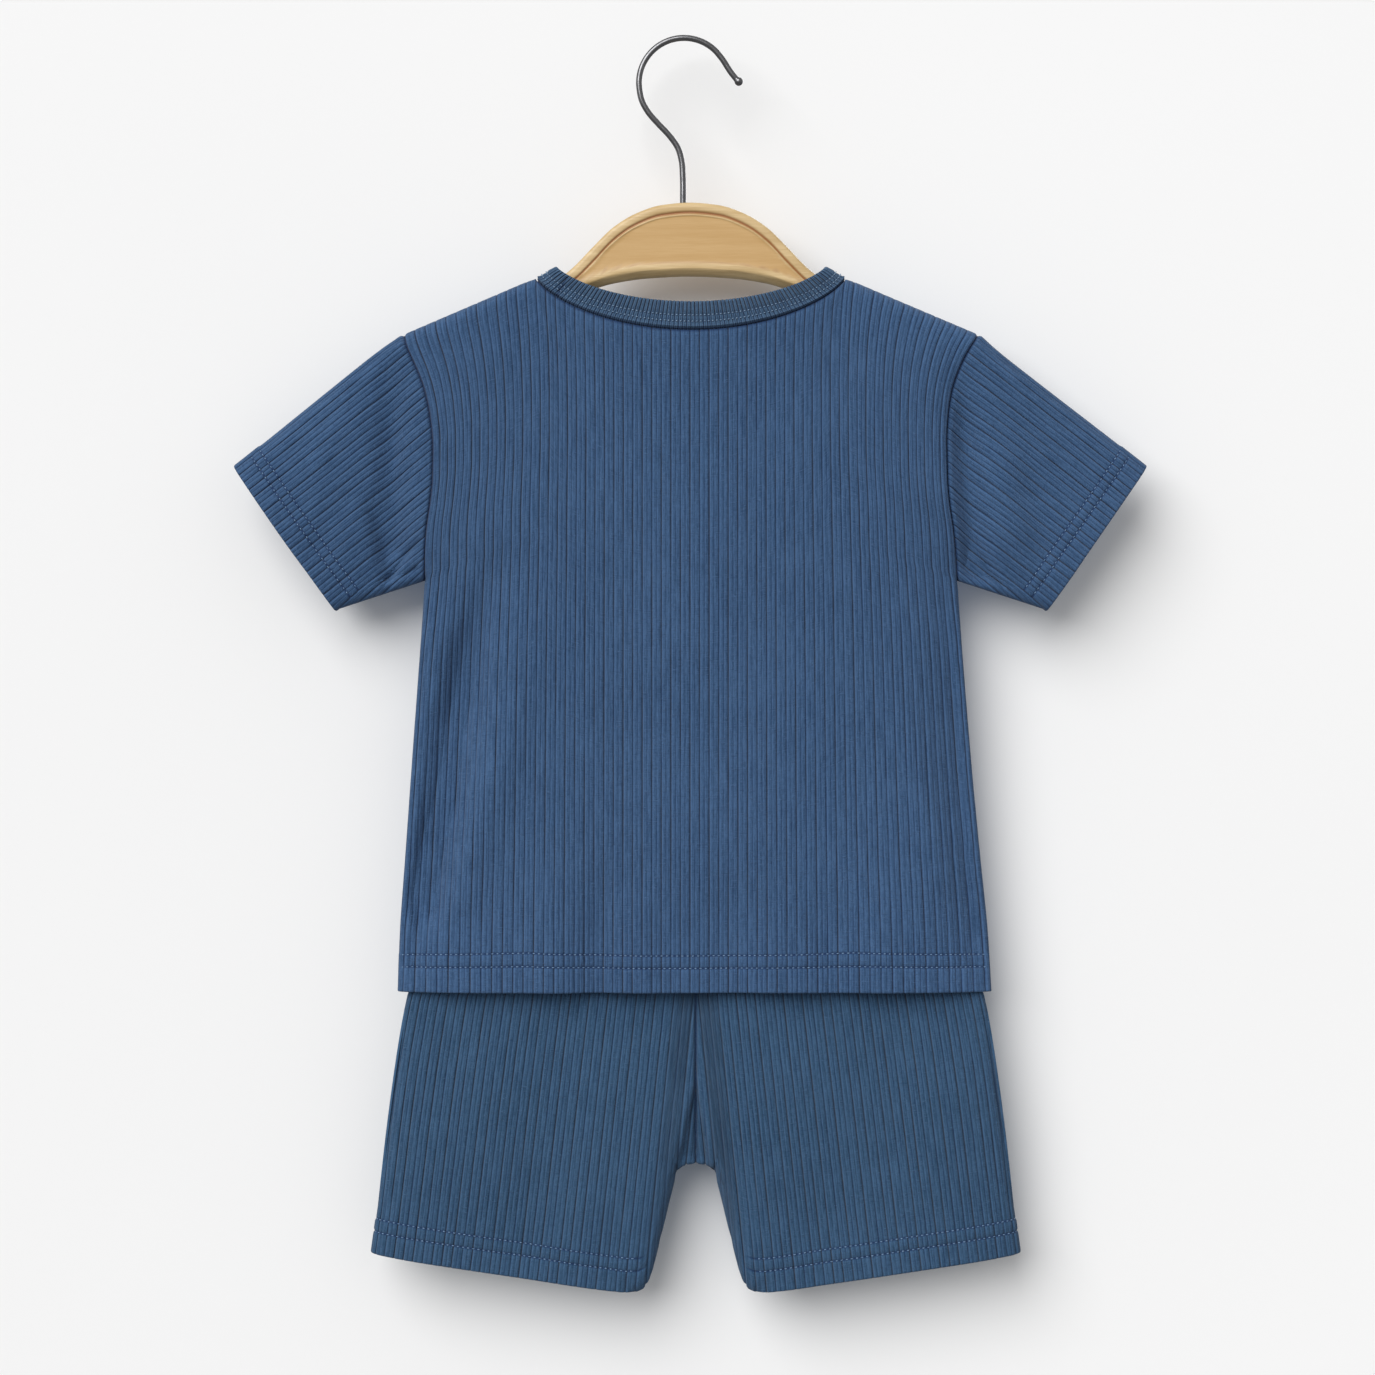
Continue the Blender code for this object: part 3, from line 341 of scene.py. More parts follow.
def rib_profile(position: np.ndarray, pitch: float, height: float, groove: float) -> np.ndarray:
    """Height of ribs over their grooves' floor: a flat crown with a narrow groove.

    The height is h * (1 - exp(-(d / g)^2)) with a crown of 0.04 h, where d is the distance to
    the nearest groove.

    Args:
        position: Distance across the ribs, with a groove at every whole pitch.
        pitch: Distance from groove to groove.
        height: Height of the crown.
        groove: Width of the groove.

    Returns:
        Heights, in the shape of the positions.
    """
    phase = position / pitch
    away = np.abs(phase - np.round(phase)) * pitch
    rise = np.sin(math.pi * np.clip(away / pitch * 2.0, 0.0, 1.0) / 2.0)
    crown = 1.0 - RIB_CROWN + RIB_CROWN * rise
    return height * crown * (1.0 - bell(away, groove))


def unit_normals(points: np.ndarray, ring: Coil = Coil.OPEN) -> np.ndarray:
    """Unit normals of a grid, as the cross product of its steps along columns and rows.

    Args:
        points: Grid of points, rows first.
        ring: Whether the columns close into a ring.

    Returns:
        A unit vector for each point.
    """
    if ring is Coil.RING:
        across = np.roll(points, -1, axis=1) - np.roll(points, 1, axis=1)
    else:
        across = np.gradient(points, axis=1)
    return unit(np.cross(across, np.gradient(points, axis=0)))


def facing_normals(form: np.ndarray, face: Face) -> np.ndarray:
    """Unit normals of a panel's form, turned outward on its face."""
    normal = unit_normals(form)
    return normal * face.value * np.sign(np.median(normal[..., 1]))


def hem_form(above: np.ndarray, last_row: float) -> np.ndarray:
    """Relief of a turned hem, which rolls over at its edge by a quarter circle.

    Args:
        above: Heights above the hem's edge.
        last_row: Height of its last row of stitches.

    Returns:
        Heights, in the shape of the given ones.
    """
    raised = HEM_RAISED * (1.0 - smooth_step(above, last_row, last_row + HEM_STEP))
    edge = np.clip(1.0 - above / HEM_ROLL, 0.0, 1.0)
    return raised - HEM_ROLL_DEPTH * (1.0 - np.sqrt(1.0 - edge**2))


def stitch_dents(above: np.ndarray, rows: tuple[float, ...]) -> np.ndarray:
    """How far rows of stitches pull the cloth in, as the sum of a bell across each."""
    return sum(bell(above - row, DENT_WIDTH) for row in rows)


def grid_index(shape: tuple[int, ...], columns: Coil = Coil.OPEN, rows: Coil = Coil.OPEN) -> np.ndarray:
    """Point numbers of a grid.

    Args:
        shape: The grid's shape, rows first.
        columns: Whether the first column is repeated last.
        rows: Whether the first row is repeated last.

    Returns:
        A grid of numbers.
    """
    index = np.arange(math.prod(shape[:2])).reshape(shape[:2])
    if columns is Coil.RING:
        index = np.concatenate((index, index[:, :1]), axis=1)
    if rows is Coil.RING:
        index = np.concatenate((index, index[:1]), axis=0)
    return index


def grid_faces(index: np.ndarray, turned: bool = False) -> np.ndarray:
    """Four-cornered faces of a grid of point numbers.

    Args:
        index: The grid.
        turned: Whether the faces are turned over.

    Returns:
        One row of four numbers for each face.
    """
    quads = np.stack((index[:-1, :-1], index[:-1, 1:], index[1:, 1:], index[1:, :-1]), axis=-1)
    quads = quads.reshape(-1, 4)
    return quads[:, ::-1] if turned else quads


def rim_faces(fine: np.ndarray, coarse: np.ndarray) -> list[list[int]]:
    """Faces between a fine line and a coarse one, each spanning one coarse step.

    Args:
        fine: Point numbers along the fine line.
        coarse: Point numbers along the coarse line, which starts and ends beside the fine one.

    Returns:
        One many-cornered face for each coarse step.
    """
    each = (len(fine) - 1) // (len(coarse) - 1)
    start = np.arange(len(coarse) - 1)
    along = fine[start[:, None] * each + np.arange(each + 1)[None, :]]
    return np.concatenate((along, coarse[start + 1][:, None], coarse[start][:, None]), axis=1).tolist()


def shell_faces(outer: np.ndarray, inner: np.ndarray, ring: Coil) -> list[list[int]]:
    """Faces of a closed wall between an outer grid and a coarser inner one.

    Args:
        outer: Outer grid of points.
        inner: Inner grid, whose rows and columns divide the outer grid's evenly.
        ring: Whether the columns close into a ring.

    Returns:
        Lists of point numbers, the inner grid's after the outer grid's.
    """
    fine = grid_index(outer.shape, ring)
    few = outer[..., 0].size + grid_index(inner.shape, ring)
    faces = grid_faces(fine).tolist() + grid_faces(few, turned=True).tolist()
    faces += rim_faces(fine[0, ::-1], few[0, ::-1]) + rim_faces(fine[-1], few[-1])
    if ring is Coil.OPEN:
        faces += rim_faces(fine[:, 0], few[:, 0]) + rim_faces(fine[::-1, -1], few[::-1, -1])
    return faces


def enclosed_volume(points: np.ndarray, faces: list[list[int]]) -> float:
    """Signed volume inside closed faces, as the sum of p0 . (p1 x p2) / 6 over their fans.

    Args:
        points: The points.
        faces: Lists of point numbers.

    Returns:
        The volume, negative where the faces point inward.
    """
    total = 0.0
    for corners in sorted({len(face) for face in faces}):
        same = np.array([face for face in faces if len(face) == corners])
        for step in range(1, corners - 1):
            first, second, third = (points[same[:, k]] for k in (0, step, step + 1))
            total += float(np.sum(first * np.cross(second, third))) / 6.0
    return total


def new_object(name: str, data: bpy.types.ID | None) -> bpy.types.Object:
    """Put a new object with its data in the scene.

    Args:
        name: Its name.
        data: Its mesh, light or camera.

    Returns:
        The object.
    """
    thing = bpy.data.objects.new(name, data)
    bpy.context.scene.collection.objects.link(thing)
    return thing


def make_piece(
    name: str,
    points: np.ndarray,
    faces: list[list[int]],
    material: bpy.types.Material,
    uv: np.ndarray | None = None,
    marks: dict[str, np.ndarray] | None = None,
    crease: float = 50.0,
) -> bpy.types.Object:
    """Make an object at the origin from points in millimetres, with its faces turned out.

    Args:
        name: The piece's name.
        points: Rows of width, depth and drop.
        faces: Lists of point numbers.
        material: The piece's finish.
        uv: Distances across and along the cloth for each point, in millimetres.
        marks: Named values for each point, which the finish may read.
        crease: Angle in degrees past which an edge stays sharp.

    Returns:
        The new object.
    """
    places = np.stack((points[:, 0] + CENTRE_X, points[:, 1], -points[:, 2]), axis=-1) * MM
    if enclosed_volume(places, faces) < 0.0:
        faces = [face[::-1] for face in faces]
    mesh = bpy.data.meshes.new(name)
    mesh.from_pydata(places.tolist(), [], faces)
    corners = np.empty(len(mesh.loops), dtype=np.int32)
    mesh.loops.foreach_get("vertex_index", corners)
    if uv is not None:
        layer = mesh.uv_layers.new(name="cloth")
        layer.data.foreach_set("uv", (uv[corners] * MM).astype(np.float32).ravel())
    for mark, values in (marks or {}).items():
        attribute = mesh.attributes.new(mark, "FLOAT", "POINT")
        attribute.data.foreach_set("value", values.astype(np.float32))
    mesh.shade_smooth()
    mesh.set_sharp_from_angle(angle=math.radians(crease))
    mesh.materials.append(material)
    mesh.validate()
    LOG.info("%s: %d points, %d faces", name, len(places), len(faces))
    return new_object(name, mesh)


def cloth_wall(
    name: str,
    outer: np.ndarray,
    inner: np.ndarray,
    cloth: tuple[np.ndarray, np.ndarray],
    seam: np.ndarray,
    material: bpy.types.Material,
    ring: Coil = Coil.OPEN,
) -> bpy.types.Object:
    """Make a closed wall of cloth from its outside and its plain inside.

    Args:
        name: The piece's name.
        outer: Grid of points of the outside.
        inner: Grid of points of the inside, at the rows and columns that it shares.
        cloth: Distances across and along the cloth, in millimetres.
        seam: How much each outer point lies in a seam or stitch dent, which the finish paints as shade.
        material: The piece's finish.
        ring: Whether the columns close into a ring.

    Returns:
        The piece.
    """
    across_along = np.stack(np.broadcast_arrays(*cloth), axis=-1)
    uv = np.concatenate((across_along.reshape(-1, 2), across_along[INSIDE].reshape(-1, 2)))
    points = np.concatenate((outer.reshape(-1, 3), inner.reshape(-1, 3)))
    marks = {"seam": np.concatenate((seam.ravel(), np.zeros(inner[..., 0].size)))}
    return make_piece(name, points, shell_faces(outer, inner, ring), material, uv, marks)


def attach(piece: bpy.types.Object, slot: str, *nodes: str) -> bpy.types.Object:
    """Ride a piece on the set's one body.

    Args:
        piece: The piece.
        slot: The slot of its finish; not used.
        nodes: The solids that it stands for.

    Returns:
        The piece.
    """
    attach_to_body(piece, BODY)
    if nodes:
        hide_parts(*nodes)
    return piece


class Tree:
    """A node tree with short ways to add its nodes and join them."""

    def __init__(self, tree: bpy.types.NodeTree) -> None:
        """Keep the tree."""
        self.tree = tree

    def feed(self, node: bpy.types.Node, inputs: dict) -> None:
        """Join or set a node's inputs.

        Args:
            node: The node.
            inputs: Values or sockets, by the input's name or number.
        """
        for key, value in inputs.items():
            if isinstance(value, bpy.types.NodeSocket):
                self.tree.links.new(value, node.inputs[key])
            else:
                node.inputs[key].default_value = value

    def add(self, kind: str, inputs: dict | None = None, **settings: object) -> bpy.types.Node:
        """Add a node.

        Args:
            kind: The node's type.
            inputs: Values or sockets for its inputs, by name or number.
            settings: Its other properties, which are set first.

        Returns:
            The node.
        """
        node = self.tree.nodes.new(kind)
        for key, value in settings.items():
            setattr(node, key, value)
        self.feed(node, inputs or {})
        return node

    def maths(self, operation: str, *values: object) -> bpy.types.NodeSocket:
        """Add a Math node on values or sockets, and return its result."""
        return self.add("ShaderNodeMath", dict(enumerate(values)), operation=operation).outputs[0]

    def blend(self, share: object, first: object, second: object) -> bpy.types.NodeSocket:
        """Mix two colours by a share, and return the result."""
        return self.add("ShaderNodeMix", {0: share, 6: first, 7: second}, data_type="RGBA").outputs[2]

    def total(
        self, *parts: tuple[bpy.types.NodeSocket, float], start: float = 0.0
    ) -> bpy.types.NodeSocket:
        """Add up values.

        Args:
            parts: Each value with its weight.
            start: What the sum starts from.

        Returns:
            The sum.
        """
        whole: object = start
        for value, weight in parts:
            whole = self.maths("MULTIPLY_ADD", value, weight, whole)
        return whole

    def fade(
        self, value: object, low: float, high: float, start: float = 0.0, end: float = 1.0
    ) -> bpy.types.NodeSocket:
        """Map a value smoothly from one range to another, and return the result."""
        inputs = {"Value": value, "From Min": low, "From Max": high, "To Min": start, "To Max": end}
        return self.add("ShaderNodeMapRange", inputs, interpolation_type="SMOOTHSTEP").outputs[0]

    def hump(self, place: object, width: object) -> bpy.types.NodeSocket:
        """Fall in a straight line from 1 at place 0 to 0 one width to either side."""
        share = self.maths("DIVIDE", self.maths("ABSOLUTE", place), width)
        return self.maths("SUBTRACT", 1.0, self.maths("MINIMUM", share, 1.0))

    def mark(self, name: str) -> bpy.types.NodeSocket:
        """Read a named value of the mesh."""
        return self.add("ShaderNodeAttribute", attribute_name=name).outputs["Fac"]

    def object_place(self) -> bpy.types.NodeSocket:
        """Read the place on the object."""
        return self.add("ShaderNodeTexCoord").outputs["Object"]

    def mottled(
        self, group: bpy.types.NodeTree, place: object, scale: float, detail: float
    ) -> bpy.types.NodeSocket:
        """Add the shared mottle at a place, and return its mask."""
        inputs = {"Place": place, "Scale": scale, "Detail": detail}
        return self.add("ShaderNodeGroup", inputs, node_tree=group).outputs[0]

    def paint(
        self,
        shader: bpy.types.Node,
        colour: object,
        constants: dict[str, float],
        height: object = None,
        relief: float = 0.0,
    ) -> None:
        """Give a Principled shader its colour, its constants and its bump.

        Args:
            shader: The shader.
            colour: Its colour's socket.
            constants: Values of its own sockets, by name.
            height: Height of the bump, from 0 to 1, if it has one.
            relief: How high the bump is at 1, in millimetres.
        """
        self.feed(shader, {"Base Color": colour, **constants})
        if height is not None:
            bump = self.add("ShaderNodeBump", {"Height": height, "Distance": relief * MM})
            self.feed(shader, {"Normal": bump.outputs[0]})


def new_group(
    name: str, inputs: dict[str, str], outputs: dict[str, str]
) -> tuple[Tree, dict, bpy.types.Node]:
    """Start a shader node group.

    Args:
        name: The group's name.
        inputs: Socket kind by input name.
        outputs: Socket kind by output name.

    Returns:
        The group's tree, its inputs' sockets by name, and its output node.
    """
    group = bpy.data.node_groups.new(name, "ShaderNodeTree")
    for sockets, way in ((inputs, "INPUT"), (outputs, "OUTPUT")):
        for socket, kind in sockets.items():
            group.interface.new_socket(socket, in_out=way, socket_type=f"NodeSocket{kind}")
    tree = Tree(group)
    return tree, tree.add("NodeGroupInput").outputs, tree.add("NodeGroupOutput")


class SharedEffects:
    """Effects that more than one finish uses, each one node group."""

    def __init__(self) -> None:
        """Build the groups once."""
        self.knit = self._knit()
        self.mottle = self._mottle()

    @staticmethod
    def _knit() -> bpy.types.NodeTree:
        """Loops and grooves of a rib knit, from distances across and along the cloth.

        A loop is sin(pi * b) * (1 - arch^2), where arch is the distance from its wale's middle
        and b counts courses, set back towards the wale's edges so that loops lean into a V.
        The groove is 1 on the line between two ribs and 0 one groove's width away, and the lit
        edge is the same hump moved one and a half widths across. The finishes paint shade along the
        groove and a highlight on the lit edge.

        Returns:
            The group.
        """
        names = ("Rib Pitch", "Groove", "Wale", "Course")
        tree, given, out = new_group(
            "knit_loops",
            {"Cloth": "Vector", **dict.fromkeys(names, "Float")},
            dict.fromkeys(("Loop", "Groove", "Lit Edge"), "Float"),
        )
        pitch, groove, wale, course = (given[each] for each in names)
        split = tree.add("ShaderNodeSeparateXYZ", {0: given["Cloth"]})
        across, along = (tree.maths("MULTIPLY", split.outputs[axis], 1.0 / MM) for axis in (0, 1))
        rib = tree.maths("FRACT", tree.maths("ADD", tree.maths("DIVIDE", across, pitch), 0.5))
        aside = tree.maths("MULTIPLY", tree.maths("SUBTRACT", rib, 0.5), pitch)
        moved = tree.maths("SUBTRACT", aside, tree.maths("MULTIPLY", groove, LIT_SHIFT))
        part = tree.maths("FRACT", tree.maths("DIVIDE", across, wale))
        arch = tree.maths("MULTIPLY", tree.maths("ABSOLUTE", tree.maths("SUBTRACT", part, 0.5)), 2.0)
        lean = tree.maths("MULTIPLY", arch, LOOP_LEAN)
        step = tree.maths("FRACT", tree.maths("ADD", tree.maths("DIVIDE", along, course), lean))
        arc = tree.maths("SINE", tree.maths("MULTIPLY", step, math.pi))
        body = tree.maths("SUBTRACT", 1.0, tree.maths("POWER", arch, 2.0))
        loop = tree.maths("MULTIPLY", arc, body)
        # Masks for the painted shade along the groove and the painted highlight on its lit edge
        dark, lit = tree.hump(aside, groove), tree.hump(moved, groove)
        tree.feed(out, {"Loop": loop, "Groove": dark, "Lit Edge": lit})
        return tree.tree

    @staticmethod
    def _mottle() -> bpy.types.NodeTree:
        """Soft uneven patches over a surface, as a mask from 0 to 1.

        Returns:
            The group.
        """
        tree, given, out = new_group(
            "soft_mottle", {"Place": "Vector", "Scale": "Float", "Detail": "Float"}, {"Mask": "Float"}
        )
        inputs = {"Vector": given["Place"], "Scale": given["Scale"], "Detail": given["Detail"]}
        noise = tree.add("ShaderNodeTexNoise", {**inputs, "Roughness": MOTTLE_ROUGHNESS})
        tree.feed(out, {"Mask": tree.fade(noise.outputs[0], *MOTTLE_RANGE)})
        return tree.tree


def new_material(name: str) -> tuple[bpy.types.Material, Tree, bpy.types.Node]:
    """Start a material, and return it with its tree and its Principled shader.

    Args:
        name: The material's name.

    Returns:
        The material, its tree and its shader.
    """
    material = bpy.data.materials.new(name)
    material.use_nodes = True
    tree = Tree(material.node_tree)
    return material, tree, material.node_tree.nodes["Principled BSDF"]


def screen_colour(colour: tuple[float, float, float]) -> tuple[float, float, float, float]:
    """Turn an 8-bit screen colour into linear light: ((c / 255 + 0.055) / 1.055)^2.4."""
    return (*[((part / 255 + 0.055) / 1.055) ** 2.4 for part in colour], 1.0)


@dataclass(frozen=True)
class KnitFinish:
    """Cotton rib knit: fine loops, grooves in painted shade with a painted highlight on their lit edge,
    streaks along and slubs across.

    Sizes on the cloth are across and along it, in millimetres. The parts of the tone are weighed
    as patches, fuzz, streaks, heather, bright slubs, and painted highlights on the lit edges of grooves
    and of middle lines, and the parts of the bump as loops, fuzz, bright slubs and middle lines. The
    deep colour is painted shade between loops, in grooves, middle lines and seams, and the colour of
    dark slubs.
    """

    name: str
    light: tuple[float, float, float]
    dark: tuple[float, float, float]
    # Painted shade between loops, in grooves, middle lines and seams; also the dark slubs' own colour
    deep: tuple[float, float, float] = (17, 40, 82)
    rib_pitch: float = RIB_PITCH
    groove: float = 0.5
    groove_shade: float = 0.8
    middle: float = 0.42
    wale: float = 0.714
    course: float = 0.62
    relief: float = 0.16
    streak: tuple[float, float] = (0.9, 15.0)
    heather: tuple[float, float] = (0.8, 2.6)
    slub: tuple[float, float] = (4.6, 0.6)
    breaks: tuple[float, float] = (2.6, 32.0)
    patches: tuple[float, float] = (14.0, 3.0)
    fuzz: tuple[float, float] = (900.0, 2.0)
    bright_range: tuple[float, float] = (0.61, 0.69)
    dull_range: tuple[float, float] = (0.39, 0.31)
    tone_weights: tuple[float, ...] = (0.2, 0.15, 0.62, 0.3, 0.8, 0.4, 0.3)
    tone_start: float = -0.14
    bump_weights: tuple[float, ...] = (1.0, 0.5, 1.2, -2.2)
    # Strengths of the painted shade between loops, along grooves and middle lines, and along seams
    between_loops: tuple[float, float] = (-0.22, 0.28)
    groove_range: tuple[float, float, float, float] = (0.2, 0.8, 1.05, 0.35)
    middle_range: tuple[float, float, float, float] = (0.25, 0.75, 0.3, 0.85)
    seam_shade: float = 0.88
    dull_shade: float = 0.42

    def build(self, effects: SharedEffects) -> bpy.types.Material:
        """Make the material.

        Args:
            effects: The shared node groups.

        Returns:
            The material.
        """
        material, tree, shader = new_material(self.name)
        cloth = tree.add("ShaderNodeUVMap", uv_map="cloth").outputs[0]
        place = tree.object_place()
        loops = {"Cloth": cloth, "Wale": self.wale, "Course": self.course}
        sizes = (
            {**loops, "Rib Pitch": pitch, "Groove": groove}
            for pitch, groove in ((self.rib_pitch, self.groove), (self.rib_pitch / 2.0, self.middle))
        )
        rib, line = (tree.add("ShaderNodeGroup", inputs, node_tree=effects.knit) for inputs in sizes)
        scales = (
            (1.0 / (across * MM), 1.0 / (along * MM), 1.0)
            for across, along in (self.streak, self.slub, self.heather, self.breaks)
        )
        streak, slub, heather, breaks = (
            tree.add("ShaderNodeMapping", {"Vector": cloth, "Scale": scale}) for scale in scales
        )
        fuzz = tree.mottled(effects.mottle, place, *self.fuzz)
        slubs = tree.add("ShaderNodeTexNoise", {"Vector": slub.outputs[0], "Scale": 1.0, "Detail": 1.0})
        bright = tree.fade(slubs.outputs[0], *self.bright_range)
        # The lit edges below are painted highlights; the other parts are the yarn's own uneven tone
        parts = (
            tree.mottled(effects.mottle, place, *self.patches),
            fuzz,
            tree.mottled(effects.mottle, streak.outputs[0], 1.0, 2.0),
            tree.mottled(effects.mottle, heather.outputs[0], 1.0, 1.0),
            bright,
            rib.outputs["Lit Edge"],
            line.outputs["Lit Edge"],
        )
        # Uneven yarn tone plus painted highlights on the grooves' lit edges
        tone_and_painted_highlight = tree.total(*zip(parts, self.tone_weights), start=self.tone_start)
        tone = tree.blend(tone_and_painted_highlight, screen_colour(self.dark), screen_colour(self.light))
        gaps = tree.mottled(effects.mottle, breaks.outputs[0], 1.0, 1.0)
        # Painted shade between loops, along grooves and middle lines, and along seams and stitch dents
        shades = [tree.maths("MULTIPLY_ADD", rib.outputs["Loop"], *self.between_loops)]
        for knit, (low, high, start, end) in ((rib, self.groove_range), (line, self.middle_range)):
            uneven = tree.fade(gaps, low, high, self.groove_shade * start, self.groove_shade * end)
            shades.append(tree.maths("MULTIPLY", knit.outputs["Groove"], uneven))
        shades.append(tree.maths("MULTIPLY", tree.mark("seam"), self.seam_shade))
        dull = tree.fade(slubs.outputs[0], *self.dull_range)
        shaded = tree.maths("MULTIPLY", dull, self.dull_shade)
        for shade in shades:
            shaded = tree.maths("MAXIMUM", shaded, shade)
        heights = (rib.outputs["Loop"], fuzz, bright, line.outputs["Groove"])
        tree.paint(
            shader,
            tree.blend(shaded, tone, screen_colour(self.deep)),
            {"Roughness": 0.88, "Sheen Weight": 0.08, "Sheen Roughness": 0.5, "Specular IOR Level": 0.2},
            tree.total(*zip(heights, self.bump_weights)),
            self.relief,
        )
        return material


@dataclass(frozen=True)
class ThreadFinish:
    """Matt sewing thread with a twist along each stitch."""

    name: str
    light: tuple[float, float, float]
    dark: tuple[float, float, float]
    twist: tuple[float, float] = (1400.0, 1.0)
    relief: float = 0.05

    def build(self, effects: SharedEffects) -> bpy.types.Material:
        """Make the material from the shared node groups.

        Args:
            effects: The shared node groups.

        Returns:
            The material.
        """
        material, tree, shader = new_material(self.name)
        twist = tree.mottled(effects.mottle, tree.object_place(), *self.twist)
        tone = tree.blend(twist, screen_colour(self.dark), screen_colour(self.light))
        tree.paint(shader, tone, {"Roughness": 0.7}, twist, self.relief)
        return material


@dataclass(frozen=True)
class WoodFinish:
    """Pale lacquered wood: long fine grain, a browner routed groove and a warmer panel."""

    name: str
    light: tuple[float, float, float] = (218, 191, 143)
    dark: tuple[float, float, float] = (188, 157, 106)
    panel: tuple[float, float, float] = (192, 149, 88)
    groove: tuple[float, float, float] = (150, 92, 44)
    stretch: tuple[float, float, float] = (0.06, 1.0, 1.0)
    fine: tuple[float, float] = (1500.0, 4.0)
    broad: tuple[float, float] = (260.0, 3.0)
    weights: tuple[float, float] = (0.35, 0.65)
    warmth: float = 0.7
    relief: float = 0.04

    def build(self, effects: SharedEffects) -> bpy.types.Material:
        """Make the material from the shared node groups.

        Args:
            effects: The shared node groups.

        Returns:
            The material.
        """
        material, tree, shader = new_material(self.name)
        mapped = tree.add("ShaderNodeMapping", {"Vector": tree.object_place(), "Scale": self.stretch})
        place = mapped.outputs[0]
        layers = [tree.mottled(effects.mottle, place, *layer) for layer in (self.fine, self.broad)]
        grain = tree.total(*zip(layers, self.weights))
        bare = tree.blend(grain, screen_colour(self.light), screen_colour(self.dark))
        warm = tree.maths("MULTIPLY", tree.mark("panel"), self.warmth)
        tone = tree.blend(warm, bare, screen_colour(self.panel))
        tone = tree.blend(tree.mark("routed"), tone, screen_colour(self.groove))
        lacquer = {"Roughness": 0.42, "Coat Weight": 0.15, "Coat Roughness": 0.25}
        tree.paint(shader, tone, lacquer, grain, self.relief)
        return material


@dataclass(frozen=True)
class SteelFinish:
    """Drawn steel wire, polished, with faint smears that vary its gloss."""

    name: str
    colour: tuple[float, float, float]
    gloss: tuple[float, float] = (0.16, 0.3)
    smears: tuple[float, float] = (300.0, 4.0)
    dulled: float = 0.9

    def build(self, effects: SharedEffects) -> bpy.types.Material:
        """Make the material from the shared node groups.

        Args:
            effects: The shared node groups.

        Returns:
            The material.
        """
        material, tree, shader = new_material(self.name)
        smears = tree.mottled(effects.mottle, tree.object_place(), *self.smears)
        smeared = screen_colour(tuple(part * self.dulled for part in self.colour))
        tone = tree.blend(smears, screen_colour(self.colour), smeared)
        tree.paint(shader, tone, {"Metallic": 1.0, "Roughness": tree.fade(smears, 0.0, 1.0, *self.gloss)})
        return material


@dataclass(frozen=True)
class WallFinish:
    """Plain pale wall, seen from its front only."""

    name: str
    colour: tuple[float, float, float] = (243, 243, 243)
    patches: tuple[float, float] = (2.0, 1.0)
    darker: float = 2

    def build(self, effects: SharedEffects) -> bpy.types.Material:
        """Make the material from the shared node groups.

        Args:
            effects: The shared node groups.

        Returns:
            The material.
        """
        material, tree, shader = new_material(self.name)
        patches = tree.mottled(effects.mottle, tree.object_place(), *self.patches)
        shade = screen_colour(tuple(part - self.darker for part in self.colour))
        tree.paint(shader, tree.blend(patches, screen_colour(self.colour), shade), {"Roughness": 0.9})
        clear = tree.add("ShaderNodeBsdfTransparent")
        behind = tree.add("ShaderNodeNewGeometry").outputs["Backfacing"]
        mix = tree.add("ShaderNodeMixShader", {0: behind, 1: shader.outputs[0], 2: clear.outputs[0]})
        tree.feed(tree.tree.nodes["Material Output"], {"Surface": mix.outputs[0]})
        return material


@dataclass(frozen=True)
class Crease:
    """A soft fold along a path: a trough, or a ridge where its depth is negative."""

    face: Face
    path: tuple[tuple[float, float], ...]
    width: float
    depth: float


@dataclass(frozen=True)
class Edge:
    """How a folded edge turns over: a tight quarter ellipse, then a slow rise to the fill."""

    depth: float
    radius: float
    spread: float

    def rise(self, distance: np.ndarray, fill: np.ndarray, depth: object = None) -> np.ndarray:
        """Depth gained from the edge: d * sqrt(1 - (1 - s)^2), then a quarter sine to the fill.

        Args:
            distance: Distance in from the edge.
            fill: Full depth far from the edge.
            depth: Depth of the tight roll, if it differs from the edge's own.

        Returns:
            Depths, in the shape of the distances.
        """
        depth = np.minimum(self.depth if depth is None else depth, fill)
        share = np.clip(distance / self.radius, 0.0, 1.0)
        slow = np.sin(np.clip(distance / self.spread, 0.0, 1.0) * math.pi / 2)
        return depth * np.sqrt(1.0 - (1.0 - share) ** 2) + (fill - depth) * slow


def crease_depth(creases: tuple[Crease, ...], face: Face, x: np.ndarray, drop: np.ndarray) -> np.ndarray:
    """Sum of a face's creases, each depth * exp(-(distance / width)^2) about its path.

    A crease grows from nothing at its path's start to its full depth in the first two fifths.

    Args:
        creases: The creases of both faces.
        face: The face.
        x: Widths, with their sign.
        drop: Drops.

    Returns:
        Depths, in the shape of the points.
    """
    total = np.zeros(np.broadcast(x, drop).shape)
    for crease in creases:
        if crease.face is face:
            path = np.array(crease.path)
            run = path[-1] - path[0]
            share = ((x - path[0, 0]) * run[0] + (drop - path[0, 1]) * run[1]) / (run @ run)
            depth = crease.depth * smooth_step(share, *CREASE_GROWTH)
            total += depth * bell(distance_to(path, x, drop), crease.width)
    return total


